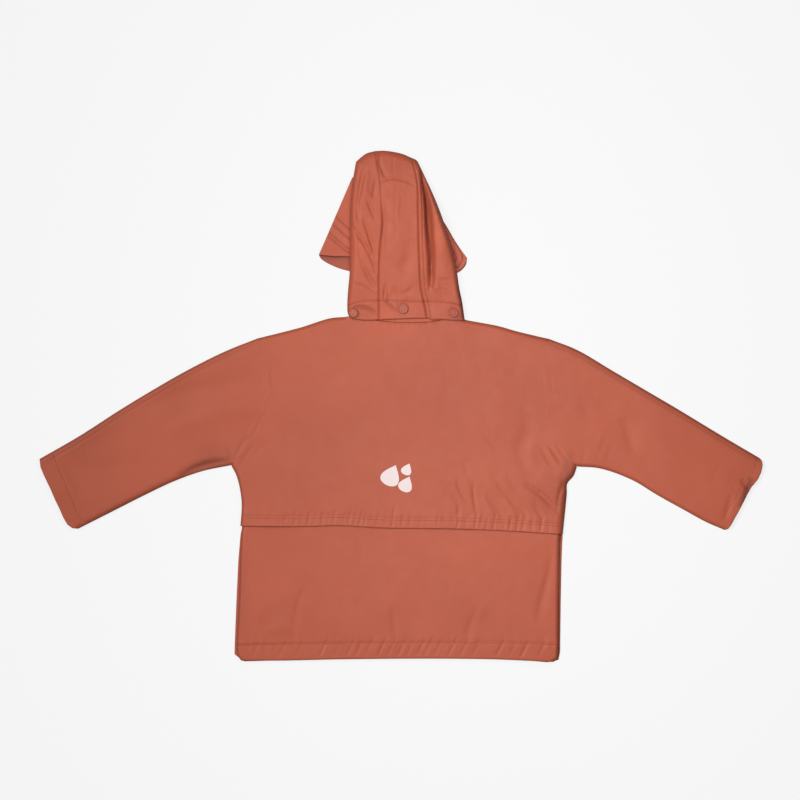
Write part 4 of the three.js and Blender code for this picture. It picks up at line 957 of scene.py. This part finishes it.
hoodFolds = [
    # crown: a deep fold beside the left seam, and the arc where the crown turns over
    (spots((380.5, 151), (379.8, 163), (383.5, 174), (387.5, 180.5)), -1.7, 2.2, 0.8),
    (spots((375.5, 155), (375.4, 167), (379.6, 179)), 0.9, 3.4, 1),
    (spots((378.5, 183), (391.7, 179), (405, 181), (416, 187)), -1.6, 2.2, 0.8),
    (spots((393, 156), (393.6, 180)), -0.6, 1.5, 1),
    # left panel
    (spots((365, 168), (359.6, 193), (357.3, 208), (359, 223)), -2.8, 3.8, 0.7),
    (spots((376.2, 180), (374.6, 190), (373.2, 200)), -1.6, 2.0, 0.9),
    (spots((366.5, 197), (370.5, 208), (375.5, 220)), -2.4, 2.2, 0.7),
    (spots((351.8, 227), (363, 241.3), (372, 259), (377.5, 275)), -2.6, 2.4, 0.75),
    (spots((363.6, 218), (369.4, 236.2), (376.2, 260)), -2.6, 2.4, 0.75),
    (spots((357.5, 243), (363, 265.6), (371, 281), (377, 290)), -2.2, 2.4, 0.8),
    (spots((353.5, 284), (365.6, 288.6), (376.5, 298)), -1.2, 2.4, 1),
    (spots((368.5, 172), (366, 190), (369.5, 205)), 1.5, 4, 1),
    (spots((356, 240), (360, 258), (366, 276)), 1.2, 3.4, 1),
    (spots((353, 195), (352.6, 212), (354, 226)), 1.3, 4.5, 1),
    (spots((366.5, 240), (371, 254)), 1.2, 3.0, 1),
    (spots((383.4, 205), (384.4, 220), (383.6, 240), (382.6, 262)), 1.0, 2.4, 1),
    # right panel: a deep valley beside the seam, then one long puffed ridge
    (spots((422, 172), (424.6, 187), (427.4, 202), (428.8, 218), (430.4, 238), (432, 258), (431, 287)),
           -7.8, 5.0, 0.6),
    (spots((421.5, 172), (423.6, 186), (426, 200), (427, 218), (428, 236), (430, 256), (431, 278)),
           -4.2, 2.0, 0.8),
    (spots((432, 270), (431.6, 282), (429, 292)), -2.8, 3.0, 1),
    (spots((431, 184), (436, 206), (439.5, 230), (442, 256), (443, 280)), 3.0, 7.0, 1.3),
    (spots((437, 282), (446, 286), (455, 292)), -1.0, 4.5, 1),
    (spots((433, 290), (440, 287)), 1.0, 4, 1),
    # centre panel
    (spots((396.6, 184), (395, 208), (395.2, 222), (396.6, 242)), -0.35, 1.4, 0.8),
    (spots((399.4, 186), (398, 210), (398.4, 228)), 0.25, 1.6, 1),
    (spots((386, 200), (386.5, 216), (384.5, 236)), -1.1, 4.5, 1),
    (spots((410, 240), (408.5, 258), (401, 272)), -1.7, 7, 1),
    (spots((412, 214), (413.5, 236)), -0.7, 4.5, 1),
    (spots((393, 196), (392, 240), (393, 266)), 1.0, 10, 1),
    (spots((414.6, 285), (408.5, 292), (400, 295.5)), -1.3, 3.2, 1),
    (spots((386.6, 284), (384.9, 298), (387, 305), (391.5, 313)), -2.6, 2.3, 0.8),
    (spots((394, 286), (397, 292), (399.5, 300)), -1.1, 2.2, 1),
    (spots((390, 286), (389.5, 296)), 1.0, 3, 1),
]
footFolds = [
    (spots((351.5, 309.5), (357, 307), (366, 308), (373, 311), (378.5, 317)), -1.8, 2.2, 0.8),
    (spots((358, 311), (366, 312.5), (372, 316.5)), 0.6, 2.6, 1),
    (spots((386.6, 298), (388, 303.5), (392, 308), (397, 314)), -1.6, 2.2, 0.8),
    (spots((396, 305.5), (394.6, 311), (397, 316)), 0.5, 2.4, 1),
    (spots((436, 306), (444, 309), (448, 315)), -0.4, 3, 1),
]
hoodStitchRight = smoothLine([(x + hood["stitchAway"], y) for x, y in hoodEdges["rightSeam"][:-1]], 60)
hoodSeamLines = [hoodLines["leftSeam"], hoodLines["rightSeam"], hoodStitchRight]
hoodFootLine = smoothLine([*hoodFoot["left"], *hoodFoot["centre"][1:], *hoodFoot["right"][1:]], 50)


def bandTop(y):
    return frontTop + readOff(bandLift, y)


def hoodHeight(x, y):
    inset = distanceTo([hoodLines["left"], hoodLines["right"], *crownLines.values()], x, y)
    inset = np.where(inset < 0.25, 0, inset)
    foot = smooth(y, 128, 142)
    form = readOff(hoodLoft, y) + foot * foldField(hoodFolds, x, y) + (1 - foot) * foldField(footFolds, x, y)
    for (size, height), seed in zip((hood["softness"], hood["fineness"]), (2.4, 4.9)):
        form += height * noiseField(x, y, size, seed)
    (size, height), (stretchX, stretchY) = hood["streaks"], hood["streakStretch"]
    form += height * noiseField(x * stretchX, y * stretchY, size, seed=6.6) * foot
    fade = 0.35 + 0.65 * smooth(-y, -262, -235)
    form += grooveField(hoodLines["leftSeam"], *hood["leftSeam"], x, y) * fade
    form += grooveField(hoodLines["rightSeam"], *hood["rightSeam"], x, y) * (1 - 0.5 * smooth(y, 262, 296))
    form += grooveField(hoodStitchRight, *hood["rightStitch"], x, y)
    fromBand = nearestOn(hoodBandLine, x, y)
    form += hood["bandRaise"] * smooth(-fromBand[0] * fromBand[2], -0.9, 0.9)
    form += grooveField(hoodBandLine, *hood["bandGroove"], x, y)
    form += gathers(hoodBandLine, *hood["bandGathers"], x, y)
    form -= hood["footDrop"] * edgeRound(nearestOn(hoodFootLine, x, y)[0], hood["footReach"])
    base = frontTop + hood["edgeClear"] + readOff(edgeLift, y)
    least = bandTop(y) + wall + hood["bandClear"]
    roll = np.where(x > 20, hood["rightRoll"], hood["leftRoll"])
    return base + (np.maximum(form, least) - base) * quarter(inset / (roll * smooth(y, 60, 150)))


def hoodPiece(name, node, left, right, across):
    edges = (smoothLine(hoodEdges[left], 90), smoothLine(hoodEdges[right], 90),
             smoothLine(hoodFoot[name], 30), smoothLine(crownEdges[name], 30))

    def place(u, v):
        x, y = patchPoints(edges, u, v)
        return x, y, hoodHeight(x, y)

    footSteps = [0.15, 0.5, 1.0, 1.7, 3, 4.5, 6, 7.5, 9, 10.5, 12, 13.5, 15, 16.5, 18]
    along = gridSteps(205, 1.3, footSteps, rollSteps)
    return clothSheet("hood_panel_" + name, across, along, place, wall, clothCoated, node)


hoodPieces = [
    hoodPiece("left", "hood_side_left", "left", "leftSeam", gridSteps(37, 1.15, rollSteps, edgeSteps)),
    hoodPiece("centre", "hood_centre", "leftSeam", "rightSeam", gridSteps(46, 1.15, edgeSteps, edgeSteps)),
    hoodPiece("right", "hood_side_right", "rightSeam", "right", gridSteps(42, 1.15, edgeSteps, rollSteps)),
]
print("hood panels made")

# The hood's front band round the face opening
faceOpening = [(-34, 109.5), (-32, 150), (-34, 205), (-24, 238), (-6, 248), (14, 240), (26, 205), (38, 150),
               (44, 108.5)]
bandOuter = smoothLine([*hoodEdges["left"], *crownEdges["left"][1:], *crownEdges["centre"][1:],
                        *crownEdges["right"][1:], *hoodEdges["right"][::-1][1:]], 160)
bandInner = smoothLine(faceOpening, 160)


frontBandForm = {"width": 30, "length": 560, "thickness": 1.5, "inwards": 0.09, "edgeDrop": 0.3,
                 "edgeReach": 1.5, "clear": 0.05}


def frontBandPlace(u, v):
    look = frontBandForm
    outer, inner = onLine(bandOuter, v), onLine(bandInner, v)
    x, y = (outer + (inner - outer) * (look["inwards"] + (1 - look["inwards"]) * u[:, None])).T
    drop = look["edgeDrop"] * edgeRound(u * look["width"], look["edgeReach"])
    return x, y, bandTop(y) - drop - look["clear"]


bandAcross = gridSteps(frontBandForm["width"], 4, edgeSteps, edgeSteps)
frontBand = clothSheet("hood_front_band", bandAcross, gridSteps(frontBandForm["length"], 4), frontBandPlace,
                       frontBandForm["thickness"], clothCoated, "hood_front")

# The stitched peak, two plies that part at the left
peakOutline = {
    "left": [(-102.6, 189.4), (-82.1, 236.9), (-61.0, 286.0)],
    "right": [(82.5, 185.5), (76.3, 193.9), (66.8, 208.1), (57.3, 224.8), (47, 240), (36, 254)],
    "top": [(-61.0, 286.0), (-24, 294), (14, 286), (36, 254)],
    "under": [(-102.6, 189.4), (-99.5, 184.2), (-85.3, 175.8), (-65.0, 169.2), (-10, 162), (40, 162),
              (71.2, 167.2), (81.0, 176.9), (82.5, 185.5)],
    "upper": [(-102.6, 189.4), (-84, 187.6), (-64, 187.2), (-10, 180), (40, 168), (70.6, 168.8),
              (80.2, 177.6), (82.5, 185.5)],
}


# Of each ply: its names, level, thickness, depth of the stitched rows and how far its mouth stands open.
peakPlies = {
    "under": ("peak_under_ply", "hood_peak_under", 1.8, 1.1, 0.5, 0),
    "upper": ("peak_upper_ply", "hood_peak_top", 3.6, 1.3, 1.0, 2.2),
}
peakForm = {"mouth": ((-108, 188), (-88, 187), (-67, 187)), "mouthWidth": 11, "rowWidth": 0.95,
            "edgeDrop": 0.7, "edgeReach": 1.3, "softness": (18, 0.15), "across": 185, "along": 115,
            "spacing": 1.15}


def peakPiece(edge):
    name, node, level, thickness, groove, mouth = peakPlies[edge]
    rim = [smoothLine(peakOutline["left"], 50), smoothLine(peakOutline["right"], 50),
           smoothLine(peakOutline[edge], 90)]
    edges = (*rim, smoothLine(peakOutline["top"], 50))
    size, height = peakForm["softness"]

    def place(u, v):
        x, y = patchPoints(edges, u, v)
        z = level + foldField([(peakForm["mouth"], mouth, peakForm["mouthWidth"], 1)], x, y)
        for line in peakRowLines:
            z += grooveField(line, groove, peakForm["rowWidth"], x, y)
        z -= peakForm["edgeDrop"] * edgeRound(distanceTo(rim, x, y), peakForm["edgeReach"])
        return x, y, z + height * noiseField(x, y, size, seed=3)

    across = gridSteps(peakForm["across"], peakForm["spacing"], edgeSteps, edgeSteps)
    along = gridSteps(peakForm["along"], peakForm["spacing"], edgeSteps)
    return clothSheet(name, across, along, place, thickness, clothCoated, node)


peakPieces = [peakPiece(edge) for edge in peakPlies]
print("front band and peak made")

# Press-studs
studForm = {
    # radius and height of each point of the profile, from the middle of the face to the middle of the foot
    "rings": [(0.0, 1.24), (3.2, 1.26), (3.7, 1.22), (4.0, 1.04), (4.3, 1.22), (5.2, 1.42), (5.9, 1.34),
              (6.3, 1.06), (6.5, 0.5), (6.35, 0.0), (0.0, 0.0)],
    "sizes": {"left": 0.87, "centre": 1.0, "right": 0.87},
    "lean": {"left": -0.2, "centre": 0.0, "right": 0.16},
    "steps": 48, "down": 0.95,
}


def studPiece(side):
    low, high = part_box("hood_stud_" + side)
    bm = bmesh.new()
    chain = [bm.verts.new((radius * mm, 0, height * mm)) for radius, height in studForm["rings"]]
    profile = [bm.edges.new(pair) for pair in zip(chain, chain[1:])]
    bmesh.ops.spin(bm, geom=chain + profile, cent=(0, 0, 0), axis=(0, 0, 1), angle=2 * math.pi,
                   steps=studForm["steps"], use_merge=True)
    bmesh.ops.remove_doubles(bm, verts=bm.verts, dist=0.01 * mm)
    bmesh.ops.recalc_face_normals(bm, faces=bm.faces)
    size = studForm["sizes"][side]
    lean = Matrix.Rotation(studForm["lean"][side], 4, "Y")
    middle = (low + high) / 2 - Vector((0, 0, studForm["down"] * mm))
    placed = Matrix.Translation(middle) @ lean @ Matrix.Diagonal((size, size, 1, 1))
    bmesh.ops.transform(bm, verts=bm.verts, matrix=placed)
    piece = pieceFrom(bm, "stud_cap_" + side, studSatin)
    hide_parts("hood_stud_" + side)


for side in ("left", "centre", "right"):
    studPiece(side)
print("press-studs made")

# Topstitching
thread = {"pitch": 3.1, "length": 2.3, "width": 0.52, "height": 0.2, "share": (0.14, 0.86)}


# The highest point of the named sheets above a place, and its normal.
def hitOn(names, x, y):
    best = None
    for name in names:
        point, normal = surfaces[name].ray_cast(Vector((x * mm, y * mm, 0.1)), Vector((0, 0, -1)))[:2]
        if point is not None and (best is None or point.z > best[0].z):
            best = (point, normal if normal.z > 0 else -normal)
    return best


def stitching(name, rows, onto):
    bm = bmesh.new()
    shape = Matrix.Diagonal([thread[side] / 2 * mm for side in ("length", "width", "height")] + [1])
    for line in rows:
        count = round(lengthOf(line) / thread["pitch"])
        for i in range(count):
            ends = onLine(line, (i + np.array(thread["share"])) / count)
            hit = hitOn(onto, *ends.mean(0))
            if hit is None:
                continue
            point, up = hit
            run = Vector((*(ends[1] - ends[0]), 0))
            forward = (run - up * run.dot(up)).normalized()
            turn = Matrix((forward, up.cross(forward), up)).transposed().to_4x4()
            placed = Matrix.Translation(point) @ turn @ shape
            bmesh.ops.create_icosphere(bm, subdivisions=1, radius=1, matrix=placed)
    return pieceFrom(bm, name, threadDyed)


def parallelTo(line, away):
    direction = np.gradient(line, axis=0)
    direction /= np.hypot(*direction.T)[:, None]
    return line + away * np.column_stack([-direction[:, 1], direction[:, 0]])


stitchPieces = {
    "lower": stitching("stitches_bottom_hem", [lowerHemLine], ["lower_back"]),
    "upper": stitching("stitches_flap_hem", [flapRowUpper, flapRowLower], ["upper_back"]),
}
for side in ("left", "right"):
    share = np.linspace(0.02, 0.97, 40)
    reach, hem = sleeveReach(side, share)
    row = np.column_stack(sleevePoints(side, share, 1 - (hem + 0.4) / reach))
    row = evenSteps(row, 40)
    stitchPieces["sleeve_" + side] = stitching("stitches_sleeve_" + side, [row], ["sleeve_tube_" + side])
stitchPieces["hood"] = stitching(
    "stitches_hood", [hoodBandLine, hoodStitchRight, parallelTo(hoodLines["rightSeam"], 1.8)[:-2]],
    ["hood_panel_left", "hood_panel_centre", "hood_panel_right"])
stitchPieces["peak"] = stitching("stitches_peak", peakRowLines, ["peak_upper_ply"])
print("topstitching made")

# Print: three plain drops
drops = {
    "places": [(-12, -85.5, 19, -24), (6.5, -96.5, 14, -24), (7.5, -78.0, 10.5, -24)],  # x, y, height, lean
    "size": 1.45, "segments": 56, "rings": 5, "ringStep": 0.05, "lift": 0.22, "thickness": 0.14,
}


def dropOutline(angle):
    return math.sin(angle) * math.sin(angle / 2) ** 1.35 * 0.60, 0.5 * math.cos(angle)


def dropsPiece():
    bm = bmesh.new()
    for x, y, height, lean in drops["places"]:
        made = bmesh.ops.create_circle(bm, segments=drops["segments"], radius=1, cap_ends=True)["verts"]
        turn = Matrix.Rotation(math.radians(lean), 2)
        for v in made:
            angle = math.atan2(v.co.x, v.co.y) % (2 * math.pi)
            away = turn @ Vector(dropOutline(angle)) * height * drops["size"]
            v.co = Vector((x + away.x, y + away.y, 0))
        face = [f for f in bm.faces if made[0] in f.verts][0]
        for i in range(drops["rings"]):
            step = height * drops["ringStep"]
            bmesh.ops.inset_region(bm, faces=[face], thickness=step, use_even_offset=False)
        bmesh.ops.poke(bm, faces=[face])
    for v in bm.verts:
        point, up = hitOn(["upper_back"], v.co.x, v.co.y)
        v.co = point + Vector((0, 0, drops["lift"] * mm))
    bmesh.ops.recalc_face_normals(bm, faces=bm.faces)
    bm.normal_update()
    if sum(f.normal.z for f in bm.faces) < 0:
        bmesh.ops.reverse_faces(bm, faces=bm.faces)
    piece = pieceFrom(bm, "raindrop_print", printPale)
    film = piece.modifiers.new("film", "SOLIDIFY")
    film.thickness = drops["thickness"] * mm
    film.offset = -1
    return piece


printPiece = dropsPiece()
print("print made")
